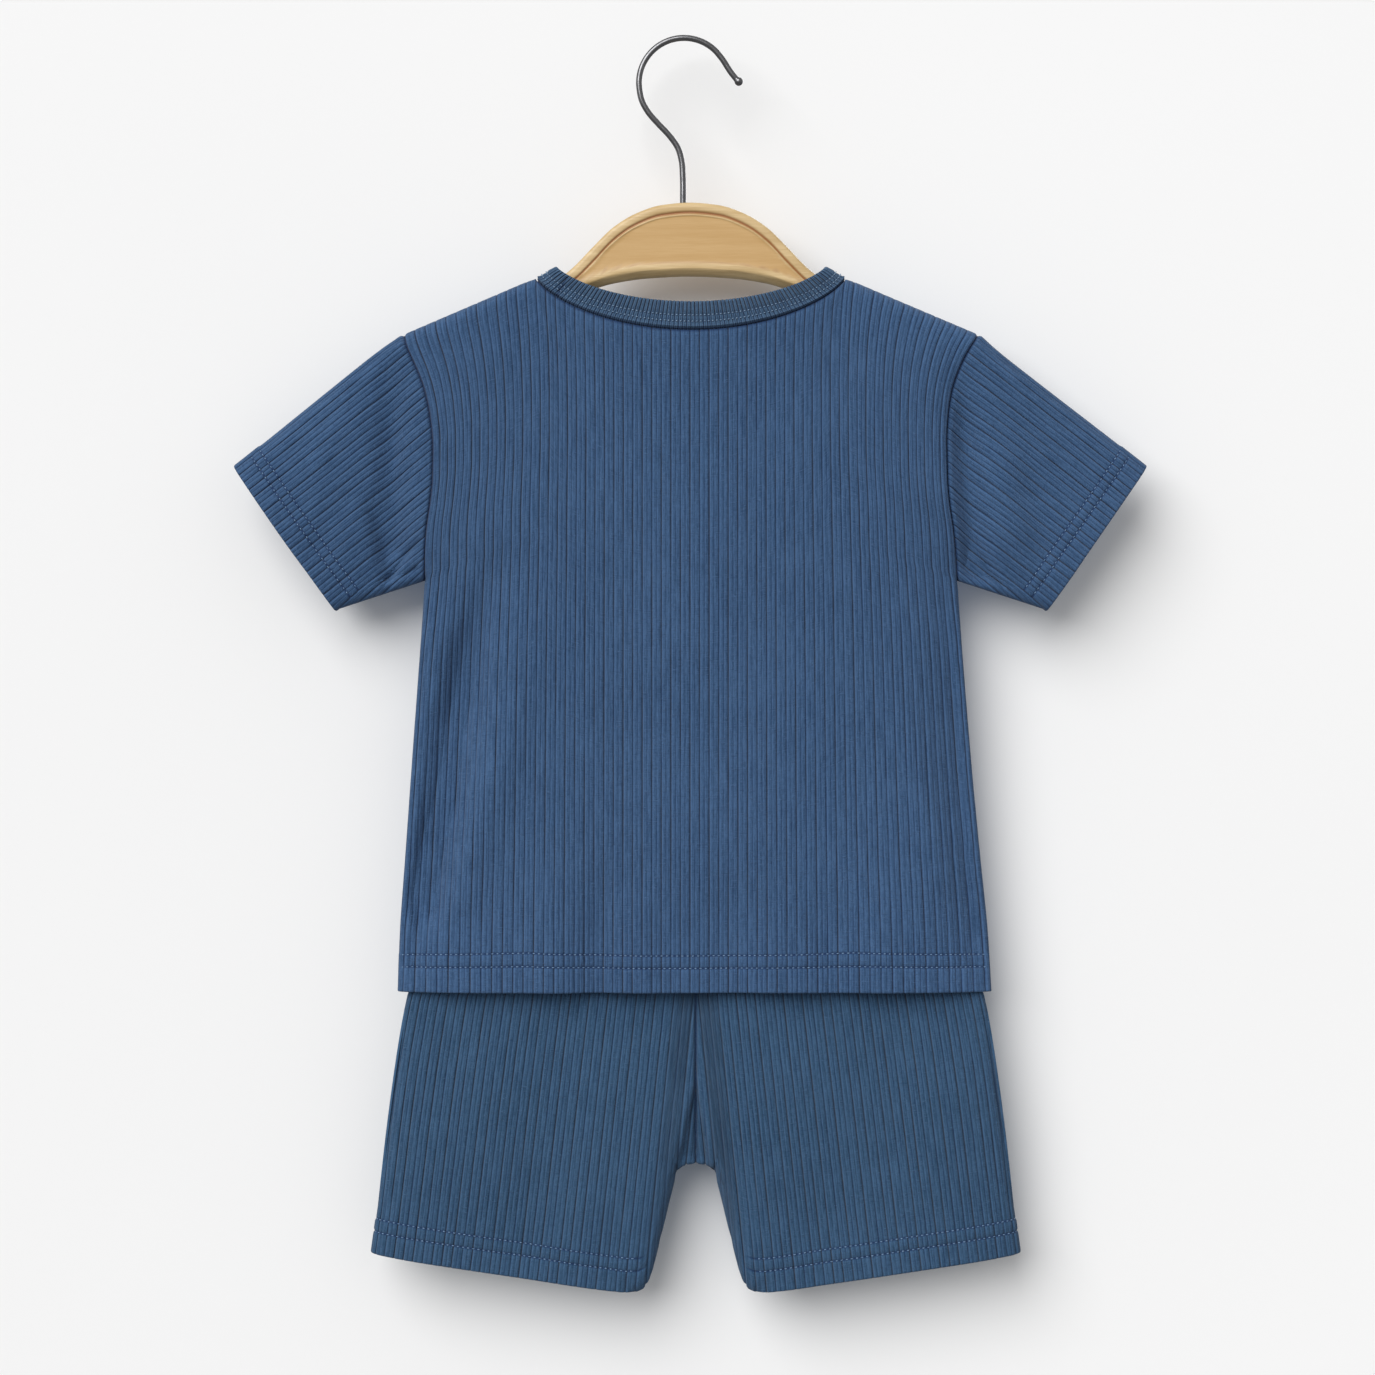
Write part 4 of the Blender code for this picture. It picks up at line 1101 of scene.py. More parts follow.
@dataclass
class StitchRow:
    """A row of short stitches along a line on the cloth."""

    pitch: float = 2.7
    share: float = 0.62
    radius: float = 0.3
    lift: float = 0.35
    sink: float = 0.3
    start: float = 0.11
    slimmest: float = 0.45
    around: int = 6
    steps: int = 5

    def threads(self, line: np.ndarray, normal: np.ndarray) -> tuple[np.ndarray, list[list[int]]]:
        """Points and faces of all stitches of one row.

        Each stitch is a bent capsule: its middle line rises over the cloth as a half sine and
        dips at both ends, and its radius swells the same way.

        Args:
            line: Points along the row, in order.
            normal: Outward unit vectors there.

        Returns:
            The points and the faces.
        """
        run = run_along(line)
        count = max(int(run[-1] / self.pitch), 1)
        share = np.linspace(0.0, 1.0, self.steps)
        at = (np.arange(count)[:, None] + self.start + share[None, :] * self.share) * run[-1] / count
        hump = np.sin(math.pi * share)[None, :, None]
        middle, out = (
            np.stack([np.interp(at, run, values[:, axis]) for axis in range(3)], axis=-1)
            for values in (line, normal)
        )
        out = unit(out)
        middle = middle + out * (hump * (self.lift + self.sink) - self.sink)
        beside = np.cross(unit(np.gradient(middle, axis=1)), out)
        turn = np.linspace(0.0, 2.0 * math.pi, self.around, endpoint=False)[:, None]
        radius = self.radius * (self.slimmest + (1.0 - self.slimmest) * hump**0.5)
        ring = beside[:, :, None] * np.cos(turn) + out[:, :, None] * np.sin(turn)
        points = middle[:, :, None] + ring * radius[:, :, None]
        index = np.arange(points[..., 0].size).reshape(points.shape[:3])
        wrapped = np.concatenate((index, index[:, :, :1]), axis=2)
        sides = np.stack(
            (wrapped[:, :-1, :-1], wrapped[:, :-1, 1:], wrapped[:, 1:, 1:], wrapped[:, 1:, :-1]), axis=-1
        ).reshape(-1, 4)
        caps = np.concatenate((index[:, 0, ::-1], index[:, -1, :]))
        return points.reshape(-1, 3), sides.tolist() + caps.tolist()


def thread_line(form: np.ndarray, face: Face) -> tuple[np.ndarray, np.ndarray]:
    """Line of a row of stitches on the middle row of a panel's form, and its normals."""
    normal = facing_normals(form, face)[1]
    return form[1] + normal * THREAD_HEIGHT, normal


def sew(
    name: str, rows: list[tuple[np.ndarray, np.ndarray]], stitch: StitchRow, material: bpy.types.Material
) -> bpy.types.Object:
    """Make one piece of stitching from several rows.

    Args:
        name: The piece's name.
        rows: A line and its normals for each row.
        stitch: The size of its stitches.
        material: The thread's finish.

    Returns:
        The piece.
    """
    points, faces, start = [], [], 0
    for line, normal in rows:
        more, sides = stitch.threads(line, normal)
        points.append(more)
        faces += [[corner + start for corner in side] for side in sides]
        start += len(more)
    return make_piece(name, np.concatenate(points), faces, material, crease=80.0)


@dataclass
class Shirt:
    """The T-shirt's body and sleeves, all lifted from one field of depth.

    The field gives half of the shirt's depth at a width and a drop. It rises from the folded
    edges (shoulders, sleeves and sides) to the fill of each height, less the creases.
    """

    neck_half: float = 81.5
    neck_depths: dict[Face, float] = field(default_factory=lambda: {Face.BACK: 28.2, Face.FRONT: 60.3})
    neck_powers: dict[Face, float] = field(default_factory=lambda: {Face.BACK: 0.7, Face.FRONT: 0.85})
    slope: float = 0.4268
    tip: tuple[float, float] = (151.0, 154.9)
    sleeve_end: tuple[float, float] = (240.0, 225.0)
    sleeve_corner: tuple[float, float] = (187.6, 300.0)
    underarm: float = 284.5
    hem: float = 500.5
    hem_depth: float = 19.5
    hem_rows: tuple[float, float] = (12.9, 19.4)
    ribs: int = 58
    fan: float = 3.0
    roll: float = 8.0
    side_drops: tuple[float, ...] = (
        154.9, 158.3, 162.9, 169.0, 176.0, 185.0, 198.0, 213.0, 230.0, 245.0, 257.0, 270.0,
        284.5, 320.0, 377.0, 430.0, 470.0, 500.5,
    )
    side_halves: tuple[float, ...] = (
        151.0, 149.6, 147.4, 144.4, 141.3, 138.3, 135.9, 134.8, 135.0, 136.4, 138.3, 139.5,
        140.2, 142.6, 147.0, 151.4, 154.8, 156.2,
    )
    side_centres: tuple[float, ...] = (
        0.5, 0.0, -0.8, -1.1, -1.0, -0.8, -0.4, 0.0, 0.1, 0.0, 0.0, 0.1, 0.5, 0.6, 0.8, 1.4, 2.0, 2.4,
    )
    fill_drops: tuple[float, ...] = (120.0, 155.0, 200.0, 284.0, 380.0, 470.0, 500.5)
    fill_depths: tuple[float, ...] = (12.0, 12.0, 12.5, 13.5, 14.0, 15.5, 16.0)
    side_edge: Edge = Edge(5.0, 5.5, 55.0)
    shoulder_edge: Edge = Edge(9.0, 8.0, 50.0)
    sleeve_edge_depth: float = 6.0
    creases: tuple[Crease, ...] = (
        Crease(
            Face.BACK,
            ((-102.0, 276.0), (-115.0, 319.0), (-123.0, 364.0), (-129.0, 402.0), (-143.0, 452.0)),
            11.5,
            12.0,
        ),
        Crease(Face.BACK, ((-80.0, 312.0), (-98.0, 376.0), (-122.0, 446.0)), 11.0, -2.9),
        Crease(Face.BACK, ((-128.0, 300.0), (-136.0, 350.0)), 6.0, -1.8),
        Crease(Face.BACK, ((-126.0, 430.0), (-148.0, 484.0)), 8.0, 2.4),
        Crease(Face.BACK, ((148.0, 286.0), (153.0, 350.0), (158.0, 400.0), (166.0, 470.0)), 24.0, 9.5),
        Crease(Face.BACK, ((106.0, 330.0), (119.0, 392.0), (130.0, 440.0)), 9.0, -2.0),
        Crease(Face.BACK, ((-47.0, 430.0), (-50.0, 501.0)), 9.0, 3.2),
        Crease(Face.BACK, ((-74.0, 436.0), (-73.0, 501.0)), 10.0, -1.7),
        Crease(Face.BACK, ((-26.0, 442.0), (-25.0, 501.0)), 8.0, -1.6),
        Crease(Face.BACK, ((17.0, 436.0), (23.0, 501.0)), 13.0, 2.5),
        Crease(Face.BACK, ((70.0, 448.0), (76.0, 501.0)), 9.0, 1.6),
        Crease(Face.BACK, ((96.0, 452.0), (101.0, 501.0)), 8.0, -1.1),
        Crease(Face.BACK, ((-100.0, 170.0), (-92.0, 222.0)), 14.0, 1.3),
        Crease(Face.BACK, ((64.0, 160.0), (84.0, 226.0)), 15.0, 1.5),
        Crease(Face.BACK, ((-155.0, 170.0), (-157.0, 214.0), (-155.0, 266.0)), 8.5, 6.6),
        Crease(Face.BACK, ((-168.0, 240.0), (-158.0, 282.0)), 5.0, 4.0),
        Crease(Face.BACK, ((-180.0, 236.0), (-196.0, 268.0)), 8.0, 1.6),
        Crease(Face.BACK, ((-176.0, 196.0), (-196.0, 222.0)), 8.0, -1.2),
        Crease(Face.BACK, ((-143.0, 264.0), (-160.0, 284.0)), 2.2, 2.5),
        Crease(Face.BACK, ((-142.0, 277.0), (-150.0, 282.0)), 1.6, 2.0),
        Crease(Face.BACK, ((142.0, 170.0), (145.0, 226.0), (150.0, 280.0)), 8.5, 8.8),
        Crease(Face.BACK, ((162.0, 206.0), (170.0, 256.0)), 8.0, -1.6),
        Crease(Face.BACK, ((176.0, 226.0), (186.0, 270.0)), 8.0, 1.8),
        Crease(Face.BACK, ((148.0, 266.0), (162.0, 286.0)), 2.4, 2.1),
        Crease(Face.FRONT, ((104.0, 300.0), (122.0, 372.0), (140.0, 440.0)), 11.0, 6.2),
        Crease(Face.FRONT, ((86.0, 330.0), (104.0, 410.0)), 11.0, -2.1),
        Crease(Face.FRONT, ((-116.0, 316.0), (-128.0, 376.0), (-146.0, 438.0)), 9.5, 5.0),
        Crease(Face.FRONT, ((36.0, 420.0), (30.0, 501.0)), 12.0, 3.0),
        Crease(Face.FRONT, ((-60.0, 400.0), (-66.0, 501.0)), 12.0, 2.5),
        Crease(Face.FRONT, ((-30.0, 436.0), (-28.0, 501.0)), 9.0, -1.5),
        Crease(Face.FRONT, ((78.0, 446.0), (84.0, 501.0)), 10.0, 1.5),
        Crease(Face.FRONT, ((-150.0, 195.0), (-148.0, 266.0)), 6.5, 5.0),
        Crease(Face.FRONT, ((152.0, 188.0), (150.0, 262.0)), 7.5, 5.2),
        Crease(Face.FRONT, ((176.0, 230.0), (188.0, 276.0)), 8.0, 1.7),
        Crease(Face.FRONT, ((-176.0, 226.0), (-190.0, 272.0)), 8.0, 1.6),
    )

    crease_clear: float = 8.0
    ripple_height: float = 0.35
    ripples: tuple[tuple[float, float], ...] = ((23.0, 61.0), (-71.0, 37.0))
    turned_drops: tuple[float, float] = (240.0, 340.0)
    taper_end: float = 200.0
    flat_ribs: float = 0.3
    cut_share: float = 0.86
    side_allowance: float = 4.0
    doubled: tuple[float, float] = (17.0, 22.0)
    middle_rows: int = 87
    hem_levels: tuple[float, ...] = (
        0.0, 0.15, 0.4, 0.75, 1.2, 2.0, 3.4, 5.2, 7.2, 9.2, 11.0, 12.0, 12.5, 12.9, 13.3, 13.8, 15.0, 16.5,
        18.0, 18.6, 19.0, 19.4, 19.8, 20.3, 21.2, 22.8,
    )
    top_levels: tuple[float, ...] = (16.0, 13.0, 10.4, 8.0, 6.4, 4.9, 3.6, 2.5, 1.6, 0.9, 0.4, 0.12, 0.0)

    def __post_init__(self) -> None:
        """Work out the two folded edges that the field of depth rises from."""
        drops = np.linspace(self.underarm, self.hem, 24)
        self.lower_edge = np.vstack(
            (np.array([self.sleeve_corner]), np.stack((self.half_width(drops), drops), axis=-1))
        )
        self.upper_edge = np.array(((0.0, self.shoulder(0.0)), self.tip, self.sleeve_end))

    def shoulder(self, across: np.ndarray) -> np.ndarray:
        """Drop of the straight shoulder line, carried on to the centre line."""
        return self.tip[1] + (np.abs(across) - self.tip[0]) * self.slope

    def half_width(self, drop: np.ndarray) -> np.ndarray:
        """Half width of the body at its side and armhole seams."""
        return smooth_table(drop, self.side_drops, self.side_halves)

    def centre(self, drop: np.ndarray) -> np.ndarray:
        """How far the body's middle lies off the centre line."""
        return smooth_table(drop, self.side_drops, self.side_centres)

    def neckline(self, across: np.ndarray, face: Face) -> np.ndarray:
        """Drop of the neckline: depth * (1 - s^2)^power below the shoulder's neck point.

        Args:
            across: Widths.
            face: The panel whose neckline it is.

        Returns:
            Drops, in the shape of the widths.
        """
        share = np.clip(np.abs(across) / self.neck_half, 0.0, 1.0)
        depth, power = self.neck_depths[face], self.neck_powers[face]
        return self.shoulder(self.neck_half) + depth * (1.0 - share**2) ** power

    def depth(self, x: np.ndarray, drop: np.ndarray, face: Face) -> np.ndarray:
        """Half depth of the shirt at widths and drops.

        Args:
            x: Widths, with their sign.
            drop: Drops.
            face: The face whose creases count.

        Returns:
            Depths, in the shape of the points.
        """
        across = np.abs(x)
        low = distance_to(self.lower_edge, across, drop)
        high = distance_to(self.upper_edge, across, drop)
        fill = smooth_table(drop, self.fill_drops, self.fill_depths)
        edges = (self.shoulder_edge.depth, self.sleeve_edge_depth)
        top = np.interp(across, (self.tip[0], self.taper_end), edges)
        depth = lesser(self.side_edge.rise(low, fill), self.shoulder_edge.rise(high, fill, top))
        clear = np.minimum(low, high)
        ripple = math.prod(np.sin(x / wide + drop / long) for wide, long in self.ripples)
        folds = crease_depth(self.creases, face, x, drop) + self.ripple_height * ripple
        depth -= folds * np.clip(clear / self.crease_clear, 0.0, 1.0)
        return np.where(clear < SNAP, 0.0, np.maximum(depth, 0.0))

    def panel(self, levels: np.ndarray, columns: np.ndarray, face: Face) -> np.ndarray:
        """Points of a body panel, whose rows are named by their drop at the side.

        Along a row the columns are spaced by the run of the cloth round the side's roll, even
        in the middle and fanned towards the sides.

        Args:
            levels: Row levels, from the hem up.
            columns: Columns from 0 at the left side to 1 at the right.
            face: The panel.

        Returns:
            A grid of points.
        """
        levels = np.asarray(levels, float)[:, None]
        half = self.half_width(levels) - GAP / 2

        def drops(share: np.ndarray) -> np.ndarray:
            """Drop along each row, level with the shoulder and neckline at the top.

            Args:
                share: Shares of the half width, with their sign.

            Returns:
                Drops, one row for each level.
            """
            across = np.abs(share) * self.tip[0]
            top = np.where(across < self.neck_half, self.neckline(across, face), self.shoulder(across))
            part = (self.hem - levels) / (self.hem - self.tip[1] - self.roll)
            low = self.hem - part * (self.hem - top - self.roll)
            return np.where(levels >= self.tip[1] + self.roll, low, top + levels - self.tip[1])

        fine = np.sin(np.linspace(-math.pi / 2, math.pi / 2, MEASURE_STEPS))[None, :]
        low = np.maximum(distance_to(self.lower_edge, np.abs(half * fine), drops(fine)) - GAP / 2, 0.0)
        turned = self.side_edge.rise(low, self.side_edge.depth * 2) * smooth_step(levels, *self.turned_drops)
        run = run_along(np.stack((half * fine, turned), axis=-1))
        run -= run[:, -1:] / 2
        reach, even = run[:, -1:], self.ribs * RIB_PITCH / 2
        across = (2.0 * columns - 1.0)[None, :]
        wanted = across * even + (reach - even) * np.sign(across) * np.abs(across) ** self.fan
        share = rows_interp(wanted, run, fine[0])
        drop, x = drops(share), half * share
        seam = (np.abs(across) >= 1.0) & (levels >= self.underarm)
        depth = np.where(seam, 0.0, self.depth(x, drop, face))
        x = x + self.centre(levels) * share**2
        return np.stack((x, face.value * (GAP / 2 + depth), drop), axis=-1)

    def relief(
        self, levels: np.ndarray, columns: np.ndarray, points: np.ndarray, face: Face
    ) -> tuple[np.ndarray, np.ndarray]:
        """Relief of a panel's outside over its form, and how much each point lies in a seam, for painted
        shade.

        Ribs stand up and flatten towards the shoulder, the turned hem is thicker, and stitch
        rows and seams pull the cloth in as bells across their lines.

        Args:
            levels: Row levels.
            columns: Columns from 0 to 1.
            points: The panel's form.
            face: The panel.

        Returns:
            Heights, and seam marks that the finish paints as shade.
        """
        x, drop = points[..., 0], points[..., 2]
        above = (self.hem - np.asarray(levels))[:, None]
        side = np.abs(np.abs(x - self.centre(drop)) - self.half_width(drop))
        neck, shoulder = drop - self.neckline(x, face), drop - self.shoulder(x)
        shoulder = np.where(np.abs(x) > self.neck_half, shoulder, self.roll)
        full = self.flat_ribs + (1.0 - self.flat_ribs) * smooth_step(shoulder, 0.0, 5.0)
        ribs = knit_ribs(columns, self.ribs, drop) * full
        armhole = bell(side, 0.9) * (drop < self.underarm + 3.0)
        sewn = smooth_step(side, 0.5, 6.0) * stitch_dents(above, self.hem_rows)
        lift = ribs + hem_form(above, self.hem_rows[1]) - DENT_DEPTH * sewn - SEAM_DEPTH * armhole
        lift -= 0.5 * bell(neck, 1.6)
        # Seam marks for painted shade at the hem stitches, the armhole seam and the neckline seam
        return lift, np.clip(DENT_SHADE * sewn + armhole + 0.9 * bell(neck, 1.3), 0.0, 1.0)

    def hold(self, points: np.ndarray, face: Face) -> np.ndarray:
        """Keep a panel's points on their own side of every seam.

        Args:
            points: The points.
            face: The panel.

        Returns:
            The points, moved no further than to the seams' lines.
        """
        x, y, drop = points[..., 0], points[..., 1], points[..., 2]
        middle = self.centre(drop)
        limit = self.half_width(drop) - GAP / 2
        x = np.clip(x - middle, -limit, limit)
        y = face.value * np.maximum(face.value * y, GAP / 2)
        edge = np.where(np.abs(x) < self.neck_half, self.neckline(x, face), 0.0)
        return np.stack((x + middle, y, np.maximum(drop, edge)), axis=-1)

    def levels(self) -> np.ndarray:
        """Row levels of a panel from the hem up, close together at the hem and the shoulder."""
        hem, top = self.hem - np.array(self.hem_levels), self.tip[1] + np.array(self.top_levels)
        return np.concatenate((hem, np.linspace(hem[-1], top[0], self.middle_rows)[1:-1], top))

    def build_panel(self, name: str, face: Face, material: bpy.types.Material) -> bpy.types.Object:
        """Make one body panel as a closed wall, doubled at its hem.

        Args:
            name: The piece's name.
            face: The panel.
            material: Its finish.

        Returns:
            The piece.
        """
        levels, columns = self.levels(), rib_columns(self.ribs)
        form = self.panel(levels, columns, face)
        normal = facing_normals(form, face)
        lift, seam = self.relief(levels, columns, form, face)
        outer = self.hold(form + normal * lift[..., None], face)
        above = (self.hem - levels)[:, None]
        thick = WALL + HEM_EXTRA * (1.0 - smooth_step(above[INSIDE[0], :, None], *self.doubled))
        inner = self.hold(form[INSIDE] - normal[INSIDE] * thick, face)
        return cloth_wall(name, outer, inner, (columns * self.ribs * RIB_PITCH, above), seam, material)

    def hem_stitching(self, name: str, face: Face, material: bpy.types.Material) -> bpy.types.Object:
        """Make a panel's two rows of hem stitches, which lie in the dents sewn for them.

        Args:
            name: The piece's name.
            face: The panel.
            material: The thread's finish.

        Returns:
            The piece.
        """
        columns = np.linspace(0.012, 0.988, self.ribs * len(RIB_OFFSETS) + 1)
        forms = [self.panel(self.hem - row + BESIDE_STITCHES, columns, face) for row in self.hem_rows]
        return sew(name, [thread_line(form, face) for form in forms], StitchRow(), material)

    @property
    def panel_cut(self) -> tuple[float, float, float]:
        """Width, length and area of a panel's cut with its turned hem, in metres."""
        width = (2.0 * self.side_halves[-1] + self.side_allowance) * MM
        length = (self.hem - self.shoulder(self.neck_half) + self.hem_depth) * MM
        return width, length, self.cut_share * width * length


@dataclass
class Sleeve:
    """A short sleeve: a flattened tube whose ribs run along it, level with its top edge."""

    shirt: Shirt
    hand: Hand
    ribs_to_corner: int = 20
    ribs_past_corner: int = 4
    hem_rows: tuple[float, float] = (11.0, 16.6)
    hem_depth: float = 16.6
    seam_allowance: float = 8.0
    cut_share: float = 0.86
    armhole_steps: int = 80
    near: tuple[float, ...] = (0.0, 0.25, 0.6, 1.1, 1.8, 2.8)
    far: tuple[float, ...] = (
        19.4, 17.7, 17.0, 16.6, 16.2, 15.6, 13.8, 12.0, 11.4, 11.0, 10.6, 10.0, 8.0, 5.5, 3.2, 1.8, 1.0, 0.5,
        0.2, 0.0,
    )

    def __post_init__(self) -> None:
        """Work out the sleeve's own axes and where its armhole lies along them."""
        tip, end = np.array(self.shirt.tip), np.array(self.shirt.sleeve_end)
        self.length = float(np.linalg.norm(end - tip))
        self.along = (end - tip) / self.length
        self.across = np.array((-self.along[1], self.along[0]))
        drops = np.linspace(tip[1], self.shirt.underarm, self.armhole_steps)
        seam = np.stack((self.shirt.half_width(drops) + GAP / 2, drops), axis=-1) - tip
        self.seam_across, self.seam_along = seam @ self.across, seam @ self.along
        corner = np.array(self.shirt.sleeve_corner) - tip
        self.corner_across, self.corner_along = float(corner @ self.across), float(corner @ self.along)
        self.ribs = self.ribs_to_corner + self.ribs_past_corner

    def surface(self, rows: Rows, columns: np.ndarray, face: Face) -> tuple[np.ndarray, np.ndarray]:
        """Points of one half of the sleeve, and their distances to its two ends.

        Args:
            rows: Rows from the armhole to the hem.
            columns: Columns from 0 at the top edge to 1 at the underarm.
            face: The half.

        Returns:
            A grid of points, and a grid with the distances from the armhole and from the hem.
        """
        fine = (np.linspace(0.0, 1.0, MEASURE_STEPS) ** 2) * self.corner_across
        roll = self.shirt.sleeve_edge_depth
        run = run_along(np.stack((fine, self.shirt.shoulder_edge.rise(fine, roll * 2, roll)), axis=-1))
        corner = self.ribs_to_corner / self.ribs
        before = np.interp(np.clip(columns / corner, 0.0, 1.0) * run[-1], run, fine)
        past = np.clip((columns - corner) / (1.0 - corner), 0.0, 1.0)
        across = before + past * (self.seam_across[-1] - self.corner_across)
        start = np.interp(across, self.seam_across, self.seam_along)
        end = np.interp(
            across,
            (0.0, self.corner_across, self.seam_across[-1]),
            (self.length, self.corner_along, self.seam_along[-1]),
        )
        along = rows.places(start, end)
        width = self.shirt.tip[0] + along * self.along[0] + across * self.across[0]
        drop = self.shirt.tip[1] + along * self.along[1] + across * self.across[1]
        depth = self.shirt.depth(self.hand.value * width, drop, face)
        last = (rows.share >= 1.0) & (rows.far <= 0.0)
        folded = (columns <= 0.0) | (past >= 1.0) | (last & (columns >= corner))
        depth = np.where(folded, 0.0, depth)
        points = np.stack(
            (self.hand.value * width + self.shirt.centre(drop), face.value * depth, drop), axis=-1
        )
        return points, np.stack((along - start, end - along), axis=-1)

    def ring(self, rows: Rows, columns: np.ndarray) -> tuple[np.ndarray, np.ndarray, np.ndarray]:
        """Both halves as one ring: down the back half, then up the front half.

        Args:
            rows: Rows from the armhole to the hem.
            columns: Columns of one half.

        Returns:
            The grid of points, the distances to the ends, and the column of each ring place.
        """
        back, back_ends = self.surface(rows, columns, Face.BACK)
        front, front_ends = self.surface(rows, columns, Face.FRONT)
        points = np.concatenate((back, front[:, -2:0:-1]), axis=1)
        ends = np.concatenate((back_ends, front_ends[:, -2:0:-1]), axis=1)
        return points, ends, np.concatenate((columns, 2.0 - columns[-2:0:-1]))

    def hold(self, points: np.ndarray) -> np.ndarray:
        """Keep the sleeve's points outside the armhole seam.

        Args:
            points: The points.

        Returns:
            The points, moved no further than to the seam's line.
        """
        x, y, drop = points[..., 0], points[..., 1], points[..., 2]
        middle = self.shirt.centre(drop)
        seam = np.where(drop < self.shirt.underarm + 2.0, self.shirt.half_width(drop), 0.0)
        width = np.maximum(self.hand.value * (x - middle), seam + GAP / 2)
        return np.stack((self.hand.value * width + middle, y, drop), axis=-1)

    def build(self, name: str, material: bpy.types.Material) -> bpy.types.Object:
        """Make the sleeve as a tube with a wall, ribs outside and a turned hem.

        Args:
            name: The piece's name.
            material: Its finish.

        Returns:
            The piece.
        """
        columns = rib_columns(self.ribs)
        form, ends, at = self.ring(Rows.spaced(self.near, self.far, 35), columns)
        start, to_hem = ends[..., 0], ends[..., 1]
        outward = np.where(np.arange(form.shape[1]) < len(columns), -1.0, 1.0)[None, :]
        normal = unit_normals(form, Coil.RING)
        normal *= np.sign(np.median(normal[..., 1] * outward))
        ribs = knit_ribs(at, self.ribs, start)
        armhole = bell(start, 1.0)
        inside = smooth_step(np.abs(1.0 - np.abs(1.0 - at)) * self.ribs, 0.3, 1.5)[None, :]
        sewn = inside * stitch_dents(to_hem, self.hem_rows)
        hemmed = ribs * smooth_step(start, 0.0, 2.2) + hem_form(to_hem, self.hem_rows[1]) - DENT_DEPTH * sewn
        past = np.minimum(at, 2.0 - at)[None, :] > self.ribs_to_corner / self.ribs
        lift = np.where(past, ribs * smooth_step(to_hem, 0.0, 3.0), hemmed) - SEAM_DEPTH * armhole
        # Seam marks for painted shade at the armhole and in the hem's stitch dents
        seam = np.clip(armhole + np.where(past, 0.0, DENT_SHADE * sewn), 0.0, 1.0)
        outer = self.hold(form + normal * lift[..., None])
        inner = self.hold(form[INSIDE] - normal[INSIDE] * WALL)
        cloth = (at * self.ribs * RIB_PITCH, start)
        return cloth_wall(name, outer, inner, cloth, seam, material, Coil.RING)

    def hem_stitching(self, name: str, material: bpy.types.Material) -> bpy.types.Object:
        """Make the sleeve's two rows of hem stitches on both halves.

        Args:
            name: The piece's name.
            material: The thread's finish.

        Returns:
            The piece.
        """
        columns = np.linspace(0.02, self.ribs_to_corner / self.ribs - 0.012, 161)
        lines = [
            thread_line(self.surface(Rows.from_last(tuple(inset - BESIDE_STITCHES)), columns, face)[0], face)
            for inset in self.hem_rows
            for face in Face
        ]
        return sew(name, lines, StitchRow(), material)

    @property
    def cut(self) -> tuple[float, float, float]:
        """Width all round, length and area of the sleeve's cut with its turned hem, in metres."""
        hem = math.dist(self.shirt.sleeve_end, self.shirt.sleeve_corner)
        width = 2.0 * (self.seam_across[-1] + self.seam_allowance) * MM
        length = (self.length + self.hem_depth) * MM
        area = 2.0 * hem * (self.length * self.cut_share + self.hem_depth) * MM * MM
        return width, length, area


